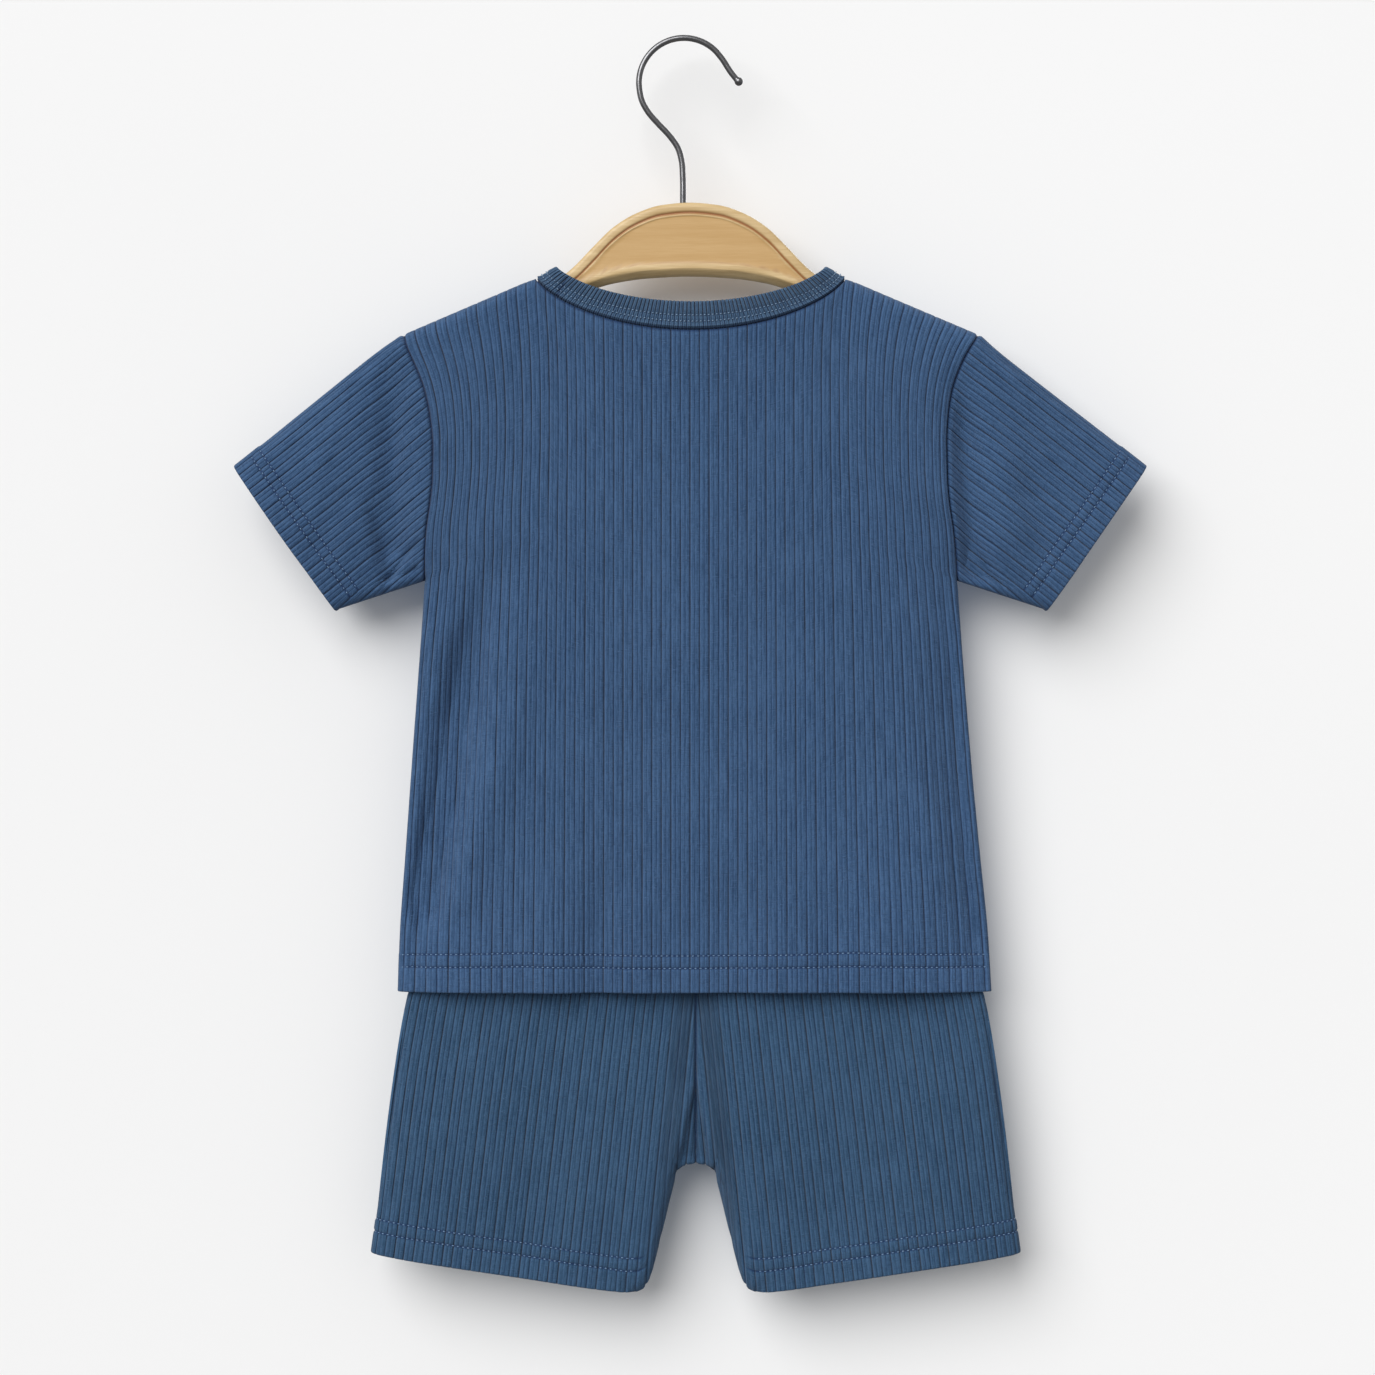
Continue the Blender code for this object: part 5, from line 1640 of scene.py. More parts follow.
@dataclass
class Neckband:
    """A folded fine-rib band round the neck, from its seam up to its free edge and back down."""

    shirt: Shirt
    seam: tuple[float, float, float, float] = (81.2, 125.1, 27.7, 59.7)
    edge: tuple[float, float, float, float] = (70.8, 119.6, 19.0, 51.3)
    wall: float = 2.6
    pitch: float = 2.1
    rib_height: float = 0.78
    proud: float = 0.5
    edge_depth: float = 9.6
    edge_roll: float = 6.0
    shoulder_roll: float = 4.6
    turn: float = 0.93
    sewn_shares: tuple[float, float] = (0.27, 0.5)
    folded_height: float = 15.0
    join_width: float = -70.0
    join_lean: float = 6.0
    cord_share: float = 0.085
    measure_steps: int = 4001
    facets: int = 6
    up_shares: tuple[float, ...] = (
        -0.1, -0.01, 0.0, 0.03, 0.055, 0.085, 0.115, 0.15, 0.2, 0.24, 0.27, 0.3, 0.35, 0.42, 0.46, 0.5, 0.54,
        0.6, 0.7, 0.8, 0.88, 0.93,
    )
    tucked: int = 2
    tuck: float = 0.75
    foot: float = -0.1

    def __post_init__(self) -> None:
        """Measure the run round the band's middle."""
        self.turns = np.linspace(0.0, 2.0 * math.pi, self.measure_steps)
        self.runs = run_along(self.line(np.array(0.5), self.turns))
        self.run = float(self.runs[-1])

    def loop(
        self, ring: tuple[float, float, float, float], angle: np.ndarray
    ) -> tuple[np.ndarray, np.ndarray]:
        """A closed line round the neck: h * sin(a) wide, d * |cos(a)|^(2p) below its base.

        Args:
            ring: Half width h, drop of the base, and depth d at the back and at the front.
            angle: Angles a round the neck, from the middle of the back.

        Returns:
            Widths and drops.
        """
        half, base, back, front = ring
        turn = np.cos(angle)
        depth = np.where(turn > 0.0, back, front)
        powers = self.shirt.neck_powers
        power = np.where(turn > 0.0, powers[Face.BACK], powers[Face.FRONT])
        return half * np.sin(angle), base + depth * np.abs(turn) ** (2.0 * power)

    def line(self, share: np.ndarray, angle: np.ndarray) -> np.ndarray:
        """Points of the band's outer form.

        Args:
            share: Shares of the way from the seam (0) to the free edge (1).
            angle: Angles round the neck.

        Returns:
            A grid of points.
        """
        seam_x, seam_drop = self.loop(self.seam, angle)
        edge_x, edge_drop = self.loop(self.edge, angle)
        face = -np.sign(np.cos(angle))
        back = self.shirt.depth(seam_x, seam_drop, Face.BACK)
        front = self.shirt.depth(seam_x, seam_drop, Face.FRONT)
        over = self.shoulder_roll * np.sqrt(np.maximum(seam_drop - self.seam[1], 0.0))
        seam_y = lesser(np.where(face < 0.0, back, front) + self.proud, over)
        inset = np.clip((edge_drop - self.edge[1]) / self.edge_roll, 0.0, 1.0)
        edge_y = self.edge_depth * np.sqrt(1.0 - (1.0 - inset) ** 2)
        x = seam_x + share * (edge_x - seam_x) + self.shirt.side_centres[0]
        y = face * (seam_y + share * (edge_y - seam_y))
        return np.stack((x, y, seam_drop + share * (edge_drop - seam_drop)), axis=-1)

    def frame(self, share: np.ndarray, angle: np.ndarray) -> tuple[np.ndarray, np.ndarray, np.ndarray]:
        """Points, outward normals and upward directions of the band's form.

        Args:
            share: Column of shares.
            angle: Row of angles.

        Returns:
            Three grids.
        """
        points = self.line(share, angle)
        ahead = self.line(share, angle + 0.01) - self.line(share, angle - 0.01)
        above, below = np.minimum(share + 0.05, 1.0), np.maximum(share - 0.05, 0.0)
        up = self.line(above, angle) - self.line(below, angle)
        normal = unit(np.cross(ahead, up))
        outward = points * (0.2, 1.0, 0.0) - (0.0, 0.0, 4.0)
        normal *= np.sign(np.sum(normal * outward, axis=-1, keepdims=True))
        return points, normal, unit(up)

    def angles(self, count: int) -> np.ndarray:
        """A number of angles spaced evenly by the band's own run."""
        return np.interp(np.arange(count) / count * self.run, self.runs, self.turns)

    def build(self, name: str, material: bpy.types.Material) -> bpy.types.Object:
        """Make the band as one closed ring that folds over its free edge.

        Args:
            name: The piece's name.
            material: Its finish.

        Returns:
            The piece.
        """
        count = round(self.run / self.pitch) * self.facets
        angle = self.angles(count)[None, :]
        position = np.arange(count)[None, :] / self.facets * self.pitch
        over = np.linspace(0.0, math.pi, 9)[1:-1]
        down_shares = np.linspace(self.turn, self.foot, 7)
        rise, fall = np.zeros(len(self.up_shares)), np.zeros(len(down_shares))
        shares = np.concatenate((self.up_shares, np.full(len(over), self.turn), down_shares))[:, None]
        inset = np.concatenate((rise, (1.0 - np.cos(over)) / 2, fall + 1.0))
        inset[: self.tucked] = self.tuck
        reach = np.concatenate((rise, np.sin(over), fall))
        facing = np.cos(np.concatenate((rise, over, fall + math.pi)))[:, None]
        points, normal, up = self.frame(shares, angle)
        rib = rib_profile(position, self.pitch, self.rib_height, 0.42)
        flat = 0.45 + 0.55 * smooth_step(shares, self.sewn_shares[1] + 0.02, self.sewn_shares[1] + 0.12)
        height = shares * self.folded_height
        outside = (inset < 0.01)[:, None]
        sewn = outside * sum(bell(height - share * self.folded_height, 0.55) for share in self.sewn_shares)
        foot = outside * bell(height, 0.75)
        cord = outside * bell(height - self.cord_share * self.folded_height, 0.5)
        joined = outside * bell(points[..., 0] - self.join_width - shares * self.join_lean, 0.9)
        joined *= points[..., 1] < 0.0
        lift = rib * flat * np.where(facing > 0.0, 1.0, 0.7)
        lift += 0.6 * cord - 0.35 * sewn - 0.9 * foot - 0.55 * joined
        # Seam marks for painted shade along the cover stitches, the band's foot seam and its join
        seam = np.clip(0.5 * sewn + foot + 0.8 * joined, 0.0, 1.0)
        shift = -self.wall * inset[:, None] + lift * np.where(facing >= 0.0, 1.0, -1.0)
        swell = self.wall / 2 * reach[:, None, None] * 1.1
        surface = points + normal * shift[..., None] + up * swell
        faces = grid_faces(grid_index(surface.shape, Coil.RING, Coil.RING)).tolist()
        uv = np.stack(np.broadcast_arrays(position, height), axis=-1).reshape(-1, 2)
        return make_piece(name, surface.reshape(-1, 3), faces, material, uv, {"seam": seam.ravel()})

    def stitching(self, name: str, material: bpy.types.Material) -> bpy.types.Object:
        """Make the two rows of cover stitches above the band's seam.

        Args:
            name: The piece's name.
            material: The thread's finish.

        Returns:
            The piece.
        """
        angle = np.append(self.angles(1200), 2.0 * math.pi)[None, :]
        rows = []
        for share in self.sewn_shares:
            points, normal, _ = self.frame(np.array([[share]]), angle)
            rows.append((points[0] + normal[0] * 0.2, normal[0]))
        return sew(name, rows, StitchRow(pitch=2.1, share=0.62, radius=0.34, lift=0.45), material)

    @property
    def cut(self) -> tuple[float, float]:
        """Length round the neck and folded height of the band's cut, in metres."""
        return self.run * MM, self.folded_height * MM


@dataclass
class Shorts:
    """The pull-on shorts: four ribbed panels, cut at the centre seam and the sides."""

    centre: float = 3.0
    waist_top: float = 388.0
    waist_seam: float = 416.0
    reference: float = 638.2
    leg_half: float = 170.2
    crotch: float = 591.0
    ribs: int = 33
    outer_tilt: float = math.radians(7.9)
    inner_tilt: float = math.radians(5.5)
    edge: Edge = Edge(4.5, 5.0, 34.0)
    side_drops: tuple[float, ...] = (388.0, 416.0, 450.0, 480.0, 505.4, 638.2)
    side_halves: tuple[float, ...] = (119.5, 121.5, 132.0, 141.0, 151.8, 170.2)
    bottom: tuple[tuple[float, float], ...] = (
        (170.2, 638.2), (38.0, 658.2), (32.0, 658.4), (28.2, 656.8), (26.0, 654.0), (24.2, 650.0),
        (21.5, 640.0), (17.8, 625.0), (13.8, 608.0), (9.8, 593.5), (5.0, 591.4), (0.15, 591.0),
    )
    fill_drops: tuple[float, ...] = (388.0, 416.0, 450.0, 478.0, 505.0, 560.0, 660.0)
    fill_depths: tuple[float, ...] = (3.0, 3.2, 4.0, 4.3, 5.0, 10.2, 12.5)
    hem_rows: tuple[float, float] = (11.6, 18.2)
    hem_levels: tuple[float, ...] = (
        0.0, 0.15, 0.4, 0.8, 1.4, 2.6, 4.6, 7.0, 9.4, 10.6, 11.1, 11.6, 12.1, 12.8, 14.8, 16.8, 17.6, 18.2,
        18.8, 19.8,
    )
    crease_clear: float = 4.0
    fold_top: float = 546.0
    fold_run: float = 46.0
    fold_depth: float = 3.6
    fold_left: float = -10.0
    fold_right: float = 7.5
    lowest: float = 680.0
    halvings: int = 40
    foot: float = 658.4
    cut_width: float = 172.0
    cut_share: float = 0.72
    band_depth: float = 3.2
    band_wall: float = 2.2
    band_run: float = 480.0
    gathers: int = 120
    gather_height: float = 0.22
    band_shares: tuple[float, ...] = (0.0, 0.03, 0.1, 0.3, 0.5, 0.7, 0.9, 0.97, 1.0)
    creases: tuple[Crease, ...] = (
        Crease(Face.BACK, ((-84.0, 588.0), (-88.0, 634.0)), 14.0, 2.1),
        Crease(Face.BACK, ((-36.0, 560.0), (-44.0, 636.0)), 10.0, 1.6),
        Crease(Face.BACK, ((-124.0, 512.0), (-132.0, 560.0)), 14.0, 1.3),
        Crease(Face.BACK, ((96.0, 522.0), (104.0, 580.0)), 16.0, 2.1),
        Crease(Face.BACK, ((60.0, 600.0), (66.0, 644.0)), 13.0, 1.6),
        Crease(Face.BACK, ((24.0, 556.0), (34.0, 600.0)), 8.0, -1.2),
        Crease(Face.FRONT, ((70.0, 575.0), (76.0, 636.0)), 15.0, 2.4),
        Crease(Face.FRONT, ((-110.0, 530.0), (-118.0, 590.0)), 16.0, 2.0),
        Crease(Face.FRONT, ((-52.0, 600.0), (-56.0, 644.0)), 12.0, 1.6),
    )

    def depth(self, x: np.ndarray, drop: np.ndarray, face: Face) -> np.ndarray:
        """Half depth of the shorts, with the fold that opens downwards over the centre seam.

        Args:
            x: Widths, with their sign.
            drop: Drops.
            face: The face whose creases count.

        Returns:
            Depths, in the shape of the points.
        """
        across = np.abs(x)
        side = np.stack((self.side_halves, self.side_drops), axis=-1)
        outer = distance_to(side, across, drop)
        inner = distance_to(np.array(self.bottom[2:]), across, drop)
        fill = smooth_table(drop, self.fill_drops, self.fill_depths)
        depth = lesser(self.edge.rise(outer, fill), self.edge.rise(inner, fill))
        clear = np.minimum(outer, inner)
        fold = crease_depth(self.creases, face, x, drop)
        opened = np.clip((drop - self.fold_top) / self.fold_run, 0.0, 1.2)
        left, right = self.fold_left * opened, self.fold_right * opened
        within = smooth_step(x, left - 1.4, left + 1.2) * (1.0 - smooth_step(x, right - 1.2, right + 1.6))
        seam = 1.2 * bell(x, 1.2) + 0.8 * bell(x, 6.0)
        lip = 0.9 * bell(x - left + 4.0, 4.0) + 0.9 * bell(x - right - 4.0, 4.0)
        parted = (self.fold_depth * within - lip) * smooth_step(opened, 0.0, 0.35)
        depth -= (fold + seam + parted) * np.clip(clear / self.crease_clear, 0.0, 1.0)
        return np.where(clear < SNAP, 0.0, np.maximum(depth, 0.0))

    def columns_foot(self, columns: np.ndarray) -> tuple[np.ndarray, np.ndarray]:
        """Where each rib column crosses the reference level, and its slope.

        Args:
            columns: Columns from 0 at the side to 1 at the crotch.

        Returns:
            Widths at the reference level, and widths gained for each drop.
        """
        foot_in = GAP / 2 + (self.reference - self.crotch) * math.tan(self.inner_tilt)
        inward = (np.linspace(0.0, 1.0, MEASURE_STEPS) ** 2) * (self.leg_half - foot_in)
        run = run_along(np.stack((inward, self.edge.rise(inward, self.edge.depth * 2)), axis=-1))
        foot = self.leg_half - np.interp(columns * run[-1], run, inward)
        outer, inner = math.tan(self.outer_tilt), math.tan(self.inner_tilt)
        return foot, outer + columns * (inner - outer)

    def width(self, columns: np.ndarray, drop: np.ndarray) -> np.ndarray:
        """Distance of each rib column from the centre line at a drop.

        Args:
            columns: Columns from 0 at the side to 1 at the crotch.
            drop: Drops.

        Returns:
            Widths, in the shape of the drops.
        """
        foot, slope = self.columns_foot(columns)
        straight = self.leg_half - (self.reference - drop) * math.tan(self.outer_tilt)
        side = smooth_table(drop, self.side_drops, self.side_halves)
        drawn = np.where(drop < self.reference, side - straight, 0.0)
        return foot - (self.reference - drop) * slope + drawn * (1.0 - columns) ** 3

    def ends(self, columns: np.ndarray) -> tuple[np.ndarray, np.ndarray]:
        """Drops at which each rib column meets the hem or inseam, by halving, and the top.

        Args:
            columns: Columns from 0 at the side to 1 at the crotch.

        Returns:
            Drops of the lower ends and of the upper ends.
        """
        foot, slope = self.columns_foot(columns)
        top = np.maximum(self.reference - (foot - GAP / 2) / slope, self.waist_seam)
        widths, drops = np.array(self.bottom)[::-1].T
        high, low = top.copy(), np.full(columns.shape, self.lowest)
        for _ in range(self.halvings):
            middle = (high + low) / 2
            inside = middle < np.interp(self.width(columns, middle), widths, drops)
            high, low = np.where(inside, middle, high), np.where(inside, low, middle)
        return high, top

    def panel(
        self, rows: Rows, columns: np.ndarray, face: Face, hand: Hand
    ) -> tuple[np.ndarray, np.ndarray]:
        """Points of a panel from hem to waist seam, and their heights above the hem.

        Args:
            rows: Rows from the hem to the waist seam.
            columns: Columns from 0 at the side to 1 at the crotch.
            face: The panel's face.
            hand: The panel's leg.

        Returns:
            A grid of points, and a grid of heights.
        """
        bottom, top = self.ends(columns)
        drop = rows.places(bottom, top)
        width = np.maximum(self.width(columns, drop), GAP / 2)
        crotch = (columns >= 1.0)[None, :]
        above = np.where(crotch, 0.0, bottom - drop)
        drop = np.where(crotch, self.crotch, drop)
        width = np.where(crotch, GAP / 2, width)
        depth = self.depth(hand.value * width, drop, face)
        y = face.value * (GAP / 2 + np.where(crotch | (columns <= 0.0)[None, :], 0.0, depth))
        return np.stack((hand.value * width + self.centre, y, drop), axis=-1), above

    def relief(
        self, columns: np.ndarray, points: np.ndarray, above: np.ndarray
    ) -> tuple[np.ndarray, np.ndarray]:
        """Relief of a panel's outside over its form, and how much each point lies in a seam, for painted
        shade.

        Args:
            columns: Columns from 0 to 1.
            points: The panel's form.
            above: Heights above the hem.

        Returns:
            Heights, and seam marks that the finish paints as shade.
        """
        ribs = knit_ribs(columns, self.ribs, above)
        width = np.abs(points[..., 0] - self.centre)
        hemmed = smooth_step(width, 24.0, 30.0) * smooth_step(1.0 - columns, 0.005, 0.04)[None, :]
        sewn = hemmed * stitch_dents(above, self.hem_rows)
        hem = hem_form(above, self.hem_rows[1]) * hemmed
        lift = ribs * smooth_step(width, 0.0, 2.0) + hem - DENT_DEPTH * sewn
        # Seam marks for painted shade in the hem's stitch dents and along the centre seam
        return lift, np.clip(DENT_SHADE * sewn + 0.9 * bell(width, 0.9), 0.0, 1.0)

    def hold(self, points: np.ndarray, face: Face, hand: Hand) -> np.ndarray:
        """Keep a panel's points on their own side of every seam.

        Args:
            points: The points.
            face: The panel's face.
            hand: The panel's leg.

        Returns:
            The points, moved no further than to the seams' lines.
        """
        width = np.maximum(hand.value * (points[..., 0] - self.centre), GAP / 2)
        y = face.value * np.maximum(face.value * points[..., 1], GAP / 2)
        drop = np.maximum(points[..., 2], self.waist_seam)
        return np.stack((hand.value * width + self.centre, y, drop), axis=-1)

    def build_panel(
        self, name: str, face: Face, hand: Hand, material: bpy.types.Material
    ) -> bpy.types.Object:
        """Make one panel as a closed wall with ribs outside and a plain inside.

        Args:
            name: The piece's name.
            face: The panel's face.
            hand: The panel's leg.
            material: Its finish.

        Returns:
            The piece.
        """
        columns = rib_columns(self.ribs)
        form, above = self.panel(Rows.spaced(self.hem_levels, (0.0,), 55), columns, face, hand)
        normal = facing_normals(form, face)
        lift, seam = self.relief(columns, form, above)
        outer = self.hold(form + normal * lift[..., None], face, hand)
        inner = self.hold(form[INSIDE] - normal[INSIDE] * WALL, face, hand)
        cloth = (-hand.value * columns * self.ribs * RIB_PITCH, above)
        return cloth_wall(name, outer, inner, cloth, seam, material)

    def hem_stitching(self, name: str, hand: Hand, material: bpy.types.Material) -> bpy.types.Object:
        """Make a leg's two rows of hem stitches on both faces.

        Args:
            name: The piece's name.
            hand: The leg.
            material: The thread's finish.

        Returns:
            The piece.
        """
        columns = np.linspace(0.012, 0.84, 241)
        bottom, _ = self.ends(columns)
        rows = []
        for face in Face:
            for inset in self.hem_rows:
                drop = bottom - inset - BESIDE_STITCHES[:, None]
                width = np.maximum(self.width(columns, drop), GAP / 2)
                y = face.value * (GAP / 2 + self.depth(hand.value * width, drop, face))
                form = np.stack((hand.value * width + self.centre, y, drop), axis=-1)
                rows.append(thread_line(form, face))
        return sew(name, rows, StitchRow(), material)

    def build_waistband(self, name: str, material: bpy.types.Material) -> bpy.types.Object:
        """Make the elastic casing: a flat ring with round ends and small upright gathers.

        Args:
            name: The piece's name.
            material: Its finish.

        Returns:
            The piece.
        """
        each = 6
        position = np.arange(self.gathers * each) / (self.gathers * each)
        height = np.array(self.band_shares)
        rows = np.concatenate((height, height[::-1]))[:, None]
        inward = np.concatenate((np.zeros(len(height)), np.ones(len(height))))[:, None]
        drop = (self.waist_seam - GAP) + rows * (self.waist_top - self.waist_seam + GAP)
        half = np.interp(drop, self.side_drops[:2], self.side_halves[:2]) - inward * self.band_wall
        thick = self.band_depth - inward * self.band_wall
        straight, bend = 4.0 * (half - self.band_depth), 2.0 * math.pi * self.band_depth
        run = position[None, :] * (straight + bend)
        lap, quarter = (straight + bend) / 2.0, straight / 2.0
        second = run >= lap
        run = np.where(second, run - lap, run)
        flat = run < quarter
        turn = np.clip((run - quarter) / (bend / 2.0), 0.0, 1.0) * math.pi
        x = np.where(flat, run - quarter / 2.0, quarter / 2.0 + thick * np.sin(turn))
        y = np.where(flat, -thick, -thick * np.cos(turn))
        sign = np.where(second, -1.0, 1.0)
        gathered = np.sin(2.0 * math.pi * position * self.gathers) * np.sin(math.pi * rows)
        y = y + np.sign(y) * self.gather_height * gathered * (1.0 - inward)
        points = np.stack(np.broadcast_arrays(sign * x + self.centre, sign * y, drop), axis=-1)
        faces = grid_faces(grid_index(points.shape, Coil.RING, Coil.RING)).tolist()
        uv = np.stack(np.broadcast_arrays(position * self.band_run, points[..., 2]), axis=-1)
        return make_piece(name, points.reshape(-1, 3), faces, material, uv.reshape(-1, 2))

    @property
    def panel_cut(self) -> tuple[float, float, float]:
        """Width, length and area of one panel's cut with its turned hem, in metres."""
        width, length = self.cut_width * MM, (self.foot - self.waist_seam + self.hem_rows[1]) * MM
        return width, length, self.cut_share * width * length


@dataclass
class Hanger:
    """The wooden hanger: a flat arched bar with round edges and a routed line on its faces."""

    thickness: float = 11.0
    top_widths: tuple[float, ...] = (
        0.0, 15.0, 28.0, 40.0, 51.5, 60.5, 64.5, 68.0, 72.0, 77.0, 82.0, 89.0, 140.5, 143.6, 145.4, 146.0,
    )
    top_drops: tuple[float, ...] = (
        85.6, 86.9, 91.1, 98.3, 109.4, 118.8, 122.3, 124.9, 127.2, 129.6, 130.0, 131.3, 153.25, 155.6,
        158.4, 161.6,
    )
    low_widths: tuple[float, ...] = (0.0, 22.0, 40.0, 52.5, 64.0, 82.0, 138.0, 142.0, 145.0, 146.0)
    low_drops: tuple[float, ...] = (124.2, 125.2, 127.8, 131.6, 137.0, 145.0, 167.5, 167.4, 165.0, 161.6)
    edge_radius: float = 2.6
    chamfer: tuple[float, float] = (3.7, 5.2)
    border: float = 7.0
    line_inset: float = 5.5
    line_width: float = 0.78
    line_depth: float = 0.8
    floor_depth: float = 0.45
    faded: tuple[float, float] = (84.0, 96.0)
    tip_run: float = 5.0
    slope_step: float = 7.0
    steepest: float = 1.4
    line_shares: tuple[float, ...] = (0.0, 0.03, 0.09, 0.18, 0.3, 0.46, 0.62, 0.76, 0.84, 0.9, 0.95, 1.0)
    panel_shares: tuple[float, ...] = (
        0.012, 0.026, 0.04, 0.05, 0.06, 0.07, 0.1, 0.2, 0.35, 0.5, 0.62, 0.7, 0.75, 0.775, 0.785, 0.8, 0.84,
        0.88, 0.885, 0.92, 0.96, 1.0,
    )

    def build(self, name: str, material: bpy.types.Material) -> bpy.types.Object:
        """Make the hanger from upright sections along its length.

        At a width, a face's depth is half the thickness, less an ellipse's quarter at the top
        edge, less a curved chamfer below, less the routed line exp(-(z / 0.78)^2), less the
        panel's sunk floor between the line and the lower border.

        Args:
            name: The piece's name.
            material: Its finish.

        Returns:
            The piece.
        """
        end = self.top_widths[-1]
        width = end * np.sin(np.linspace(-math.pi / 2, math.pi / 2, 181))
        across = np.abs(width)
        top = mirrored_table(width, self.top_widths, self.top_drops)
        low = mirrored_table(width, self.low_widths, self.low_drops)
        height = np.maximum(low - top, 0.0)
        steps = (self.slope_step, -self.slope_step)
        ahead, behind = (mirrored_table(width + step, self.top_widths, self.top_drops) for step in steps)
        slope = np.minimum(np.abs(ahead - behind) / (2.0 * self.slope_step), self.steepest)
        line = np.minimum(self.line_inset * np.sqrt(1.0 + slope**2), height * 0.5)
        upper, lower = np.array(self.line_shares), np.array(self.panel_shares)
        z = np.concatenate((upper[:, None] * line, line + lower[:, None] * (height - line)))
        below = height[None, :] - z
        edge = np.minimum(self.edge_radius, height / 2 + TINY)[None, :]
        rise, inward = self.chamfer
        rise = np.minimum(rise, height / 2 + TINY)[None, :]
        half = self.thickness / 2
        rounded = edge * (1.0 - np.sqrt(1.0 - np.clip(1.0 - z / edge, 0.0, 1.0) ** 2))
        bevelled = inward * np.clip(1.0 - below / rise, 0.0, 1.0) ** 1.1
        faded = (1.0 - smooth_step(across, *self.faded))[None, :]
        routed = (bell(z - line, self.line_width) + 0.45 * bell(below - self.border, 0.4)) * faded
        floor = smooth_step(z - line, 1.5, 2.0) * smooth_step(below, self.border, self.border + 0.7)
        sunk = floor * faded
        past = np.clip((across - end + self.tip_run) / self.tip_run, 0.0, 1.0)
        tip = np.sqrt(np.clip(1.0 - past**2, 0.0, 1.0))[None, :]
        y = (half - rounded - bevelled - self.line_depth * routed - self.floor_depth * sunk) * tip
        x, drop = np.broadcast_arrays(width[None, :], top[None, :] + z)
        grid = np.concatenate((np.stack((x, -y, drop), axis=-1), np.stack((x, y, drop), axis=-1)[::-1]))
        index = grid_index(grid.shape, rows=Coil.RING)
        faces = grid_faces(index).tolist()
        faces += [index[:-1, 0].tolist(), index[:-1, -1][::-1].tolist()]
        marks = {
            "panel": np.concatenate((sunk, sunk[::-1])).ravel(),
            "routed": np.concatenate((routed, routed[::-1])).ravel(),
        }
        return make_piece(name, grid.reshape(-1, 3), faces, material, marks=marks, crease=60.0)


@dataclass
class HangerHook:
    """The wire hook: a ball tip, a round bend, a swept throat and a straight shank."""

    wire: float = 1.6
    bend: float = 23.7
    ball: float = 2.3
    tip: tuple[tuple[float, float], ...] = ((30.6, 22.9), (27.9, 20.4), (25.4, 17.4))
    throat: tuple[tuple[float, float], ...] = (
        (-22.3, 31.0), (-18.9, 37.4), (-13.4, 43.8), (-7.6, 50.0), (-3.2, 56.4), (-1.2, 63.4),
        (-0.6, 72.0), (-0.5, 84.0), (-0.5, 97.0),
    )
    swing: tuple[float, float] = (55.0, -100.0)
    bend_steps: int = 14
    ball_steps: int = 15
    steps: int = 200
    around: int = 20

    def build(self, name: str, material: bpy.types.Material) -> bpy.types.Object:
        """Make the wire as a round section carried along a smooth path in one plane.

        The section's radius is the wire's, and at the tip the ball's: sqrt(R^2 - (R - s)^2),
        where s is the distance from the end.

        Args:
            name: The piece's name.
            material: Its finish.

        Returns:
            The piece.
        """
        turn = np.radians(np.linspace(*self.swing, self.bend_steps))
        arc = np.stack((self.bend * np.sin(turn), self.bend * (1.0 - np.cos(turn)) - self.wire), axis=-1)
        known = np.vstack((self.tip, arc, self.throat))
        run = run_along(known)
        tip_steps = self.ball * (1.0 - np.cos(np.linspace(0.0, math.pi, self.ball_steps)))
        along = np.concatenate((tip_steps, np.linspace(tip_steps[-1], run[-1], self.steps)[1:]))
        cell = piece_numbers(along, run)
        span = (run[cell + 1] - run[cell])[:, None]
        share = (along - run[cell])[:, None] / span
        path = hermite(share, span, known, np.gradient(known, run, axis=0), cell)
        ahead = unit(np.gradient(path, axis=0))
        ball = np.sqrt(np.clip(self.ball**2 - (self.ball - along) ** 2, 0.0, None))
        radius = np.where(along < self.ball, ball, np.maximum(ball, self.wire))[:, None]
        turn = np.linspace(0.0, 2.0 * math.pi, self.around, endpoint=False)
        aside, y = radius * np.cos(turn), radius * np.sin(turn)
        x, drop = path[:, :1] - ahead[:, 1:] * aside, path[:, 1:] + ahead[:, :1] * aside
        grid = np.stack((x - CENTRE_X, y, drop), axis=-1)[1:]
        index = grid_index(grid.shape, Coil.RING)
        faces = grid_faces(index).tolist() + [index[0, -2::-1].tolist(), index[-1, :-1].tolist()]
        return make_piece(name, grid.reshape(-1, 3), faces, material, crease=60.0)


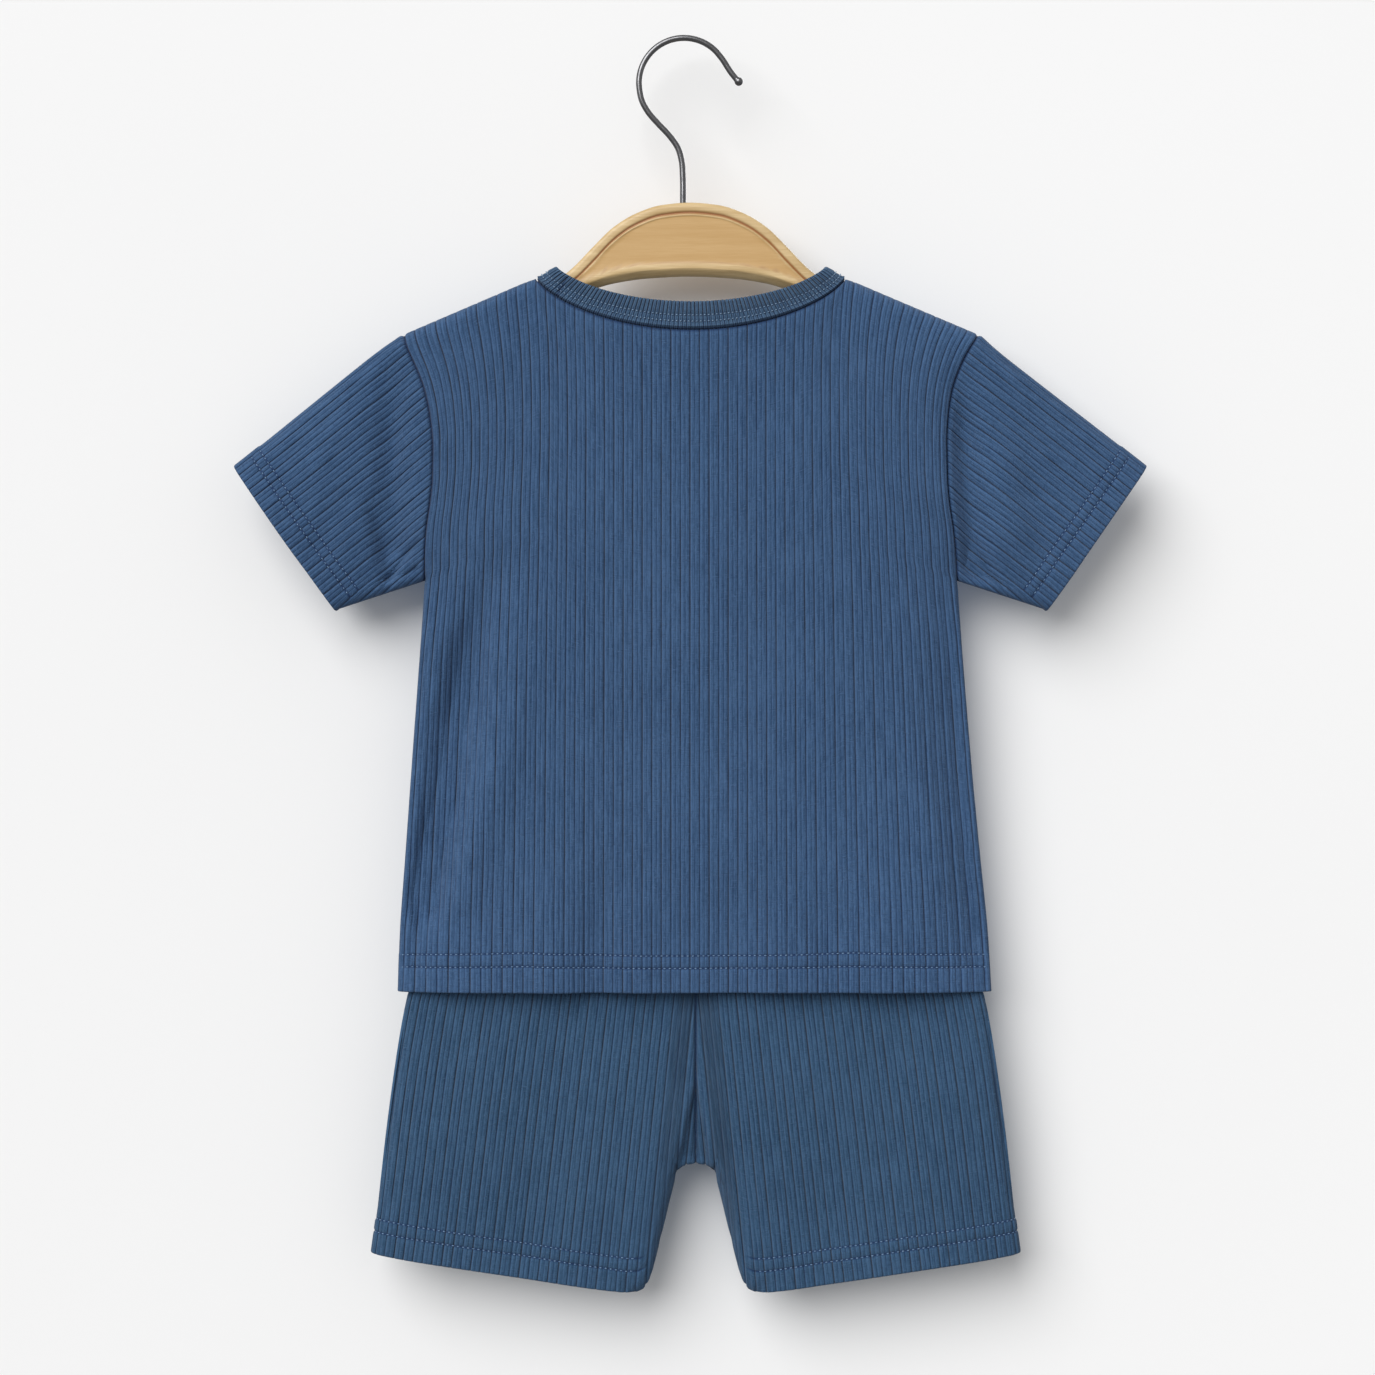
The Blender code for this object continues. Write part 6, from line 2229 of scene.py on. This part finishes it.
@dataclass
class Studio:
    """The pale wall and floor, the soft lights and the camera."""

    wall_depth: float = 0.03
    sun_from: tuple[float, float, float] = (-0.55, -1.0, 0.66)
    floor_drop: float = 1.0
    reach: float = 4.0
    wall_height: float = 3.0
    sun_power: float = 2.5
    sun_spread: float = 50.0
    rear_place: tuple[float, float, float] = (0.8, 2.2, 0.6)
    rear_size: float = 1.6
    rear_power: float = 22.0
    air: float = 0.52
    distance: float = 1.6
    sensor: float = 36.0

    def plane(
        self, name: str, corners: list[tuple[float, float, float]], material: bpy.types.Material
    ) -> bpy.types.Object:
        """Make a flat stage piece from its corners, in metres.

        Args:
            name: Its name.
            corners: Its corners, in order.
            material: Its finish.

        Returns:
            The piece.
        """
        mesh = bpy.data.meshes.new(name)
        mesh.from_pydata(corners, [], [list(range(len(corners)))])
        mesh.materials.append(material)
        piece = new_object(name, mesh)
        return piece

    def lights(self, middle: Vector) -> None:
        """Add the wide soft sun, the lamp behind the wall and the even light of the room.

        Args:
            middle: The point that the lamp faces.
        """
        key = bpy.data.lights.new("key", "SUN")
        key.energy, key.angle = self.sun_power, math.radians(self.sun_spread)
        new_object("key", key).rotation_euler = Vector(self.sun_from).to_track_quat("Z", "Y").to_euler()
        rear = bpy.data.lights.new("rear", "AREA")
        rear.size, rear.energy = self.rear_size, self.rear_power
        lamp = new_object("rear", rear)
        lamp.location = self.rear_place
        lamp.rotation_euler = (middle - lamp.location).to_track_quat("-Z", "Y").to_euler()
        world = bpy.data.worlds.new("studio_air")
        world.use_nodes = True
        sky = world.node_tree.nodes["Background"]
        sky.inputs["Color"].default_value = (1.0, 1.0, 1.0, 1.0)
        sky.inputs["Strength"].default_value = self.air
        bpy.context.scene.world = world

    def camera(self, middle: Vector) -> None:
        """Add the camera, square on to the wall, as wide as the picture.

        Args:
            middle: The point in the middle of the picture.
        """
        camera = bpy.data.cameras.new("camera")
        camera.sensor_width = self.sensor
        camera.lens = self.sensor * self.distance / (PICTURE_WIDTH * MM)
        eye = new_object("camera", camera)
        eye.location = middle + Vector((0.0, -self.distance, 0.0))
        eye.rotation_euler = (math.pi / 2, 0.0, 0.0)
        bpy.context.scene.camera = eye
        bpy.context.scene.view_settings.view_transform = "Standard"

    def build(self, effects: SharedEffects) -> None:
        """Make the stage, the lights and the camera.

        Args:
            effects: The shared node groups.
        """
        finish = WallFinish("pale_wall").build(effects)
        ground = WallFinish("grey_floor", (148, 148, 148)).build(effects)
        far, low, high, depth = self.reach, -self.floor_drop, self.wall_height, self.wall_depth
        corners = [(-far, depth, low), (far, depth, low), (far, depth, high), (-far, depth, high)]
        wall = self.plane("wall", corners, finish)
        for way in ("visible_shadow", "visible_diffuse", "visible_glossy", "visible_transmission"):
            setattr(wall, way, False)
        self.plane("floor", [(-far, -far, low), (far, -far, low), (far, far, low), (-far, far, low)], ground)
        middle = Vector((PICTURE_MIDDLE[0] * MM, 0.0, -PICTURE_MIDDLE[1] * MM))
        self.lights(middle)
        self.camera(middle)


def dress_shirt(effects: SharedEffects, thread: bpy.types.Material) -> None:
    """Make the shirt's panels, sleeves and neckband, with their stitching.

    Args:
        effects: The shared node groups.
        thread: The sewing thread's finish.
    """
    shirt = Shirt()
    knit = KnitFinish("shirt_knit", (78, 111, 151), (49, 79, 113)).build(effects)
    width, length, area = shirt.panel_cut
    for face, place in ((Face.BACK, "back"), (Face.FRONT, "front")):
        panel = attach(shirt.build_panel(f"shirt_{place}_cloth", face, knit), "shirt_knit", f"shirt_{place}")
        hem = attach(shirt.hem_stitching(f"shirt_{place}_stitching", face, thread), "shirt_knit")
    for hand, place in ((Hand.LEFT, "left"), (Hand.RIGHT, "right")):
        sleeve = Sleeve(shirt, hand)
        tube = attach(sleeve.build(f"sleeve_{place}_cloth", knit), "shirt_knit", f"sleeve_{place}")
        hem = attach(sleeve.hem_stitching(f"sleeve_{place}_stitching", thread), "shirt_knit")
        width, length, area = sleeve.cut
    band = Neckband(shirt)
    fine = {"rib_pitch": band.pitch, "groove": 0.5, "groove_shade": 0.95, "wale": 1.05}
    rib = KnitFinish("neckband_knit", (86, 117, 148), (60, 89, 116), **fine).build(effects)
    ring = attach(band.build("neckband_cloth", rib), "neck_rib", "neckband")
    pale = ThreadFinish("cover_thread", (138, 164, 190), (98, 126, 156)).build(effects)
    rows = attach(band.stitching("neckband_stitching", pale), "neck_rib")


def dress_shorts(effects: SharedEffects, thread: bpy.types.Material) -> None:
    """Make the shorts' panels and waistband, with their stitching.

    Args:
        effects: The shared node groups.
        thread: The sewing thread's finish.
    """
    shorts = Shorts()
    knit = KnitFinish("shorts_knit", (71, 105, 138), (42, 74, 101)).build(effects)
    width, length, area = shorts.panel_cut
    for hand, side in ((Hand.LEFT, "left"), (Hand.RIGHT, "right")):
        hem = attach(shorts.hem_stitching(f"shorts_{side}_stitching", hand, thread), "shorts_knit")
        for face, place in ((Face.BACK, "back"), (Face.FRONT, "front")):
            node = f"shorts_{place}_{side}"
            panel = attach(shorts.build_panel(f"{node}_cloth", face, hand, knit), "shorts_knit", node)
    smooth = {"rib_pitch": 4.0, "groove": 0.5, "groove_shade": 0.2}
    plain = KnitFinish("waistband_knit", (71, 105, 138), (42, 74, 101), **smooth).build(effects)
    band = attach(shorts.build_waistband("shorts_waistband_cloth", plain), "shorts_knit", "shorts_waistband")


def dress_hanger(frame: dict, effects: SharedEffects) -> None:
    """Make the hanger and its hook, and give the hidden clips their steel.

    Args:
        frame: The loaded frame.
        effects: The shared node groups.
    """
    wood = WoodFinish("hanger_wood").build(effects)
    attach(Hanger().build("hanger_wood", wood), "wood", "hanger_body")
    steel = SteelFinish("hook_steel", (120, 120, 122)).build(effects)
    attach(HangerHook().build("hook_wire", steel), "hook_steel", "hanger_hook")
    plated = SteelFinish("clip_steel", (170, 170, 172), gloss=(0.3, 0.45)).build(effects)
    for place in ("left", "right"):
        clip = frame["nodes"][f"drop_clip_{place}"]
        clip.data.materials.clear()
        clip.data.materials.append(plated)


def main() -> None:
    """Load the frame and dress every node."""
    logging.basicConfig(level=logging.INFO, format="%(name)s: %(message)s")
    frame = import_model()
    effects = SharedEffects()
    thread = ThreadFinish("sewing_thread", (124, 154, 186), (80, 110, 146)).build(effects)
    Studio().build(effects)
    dress_hanger(frame, effects)
    dress_shirt(effects, thread)
    dress_shorts(effects, thread)


if __name__ == "__main__":
    main()
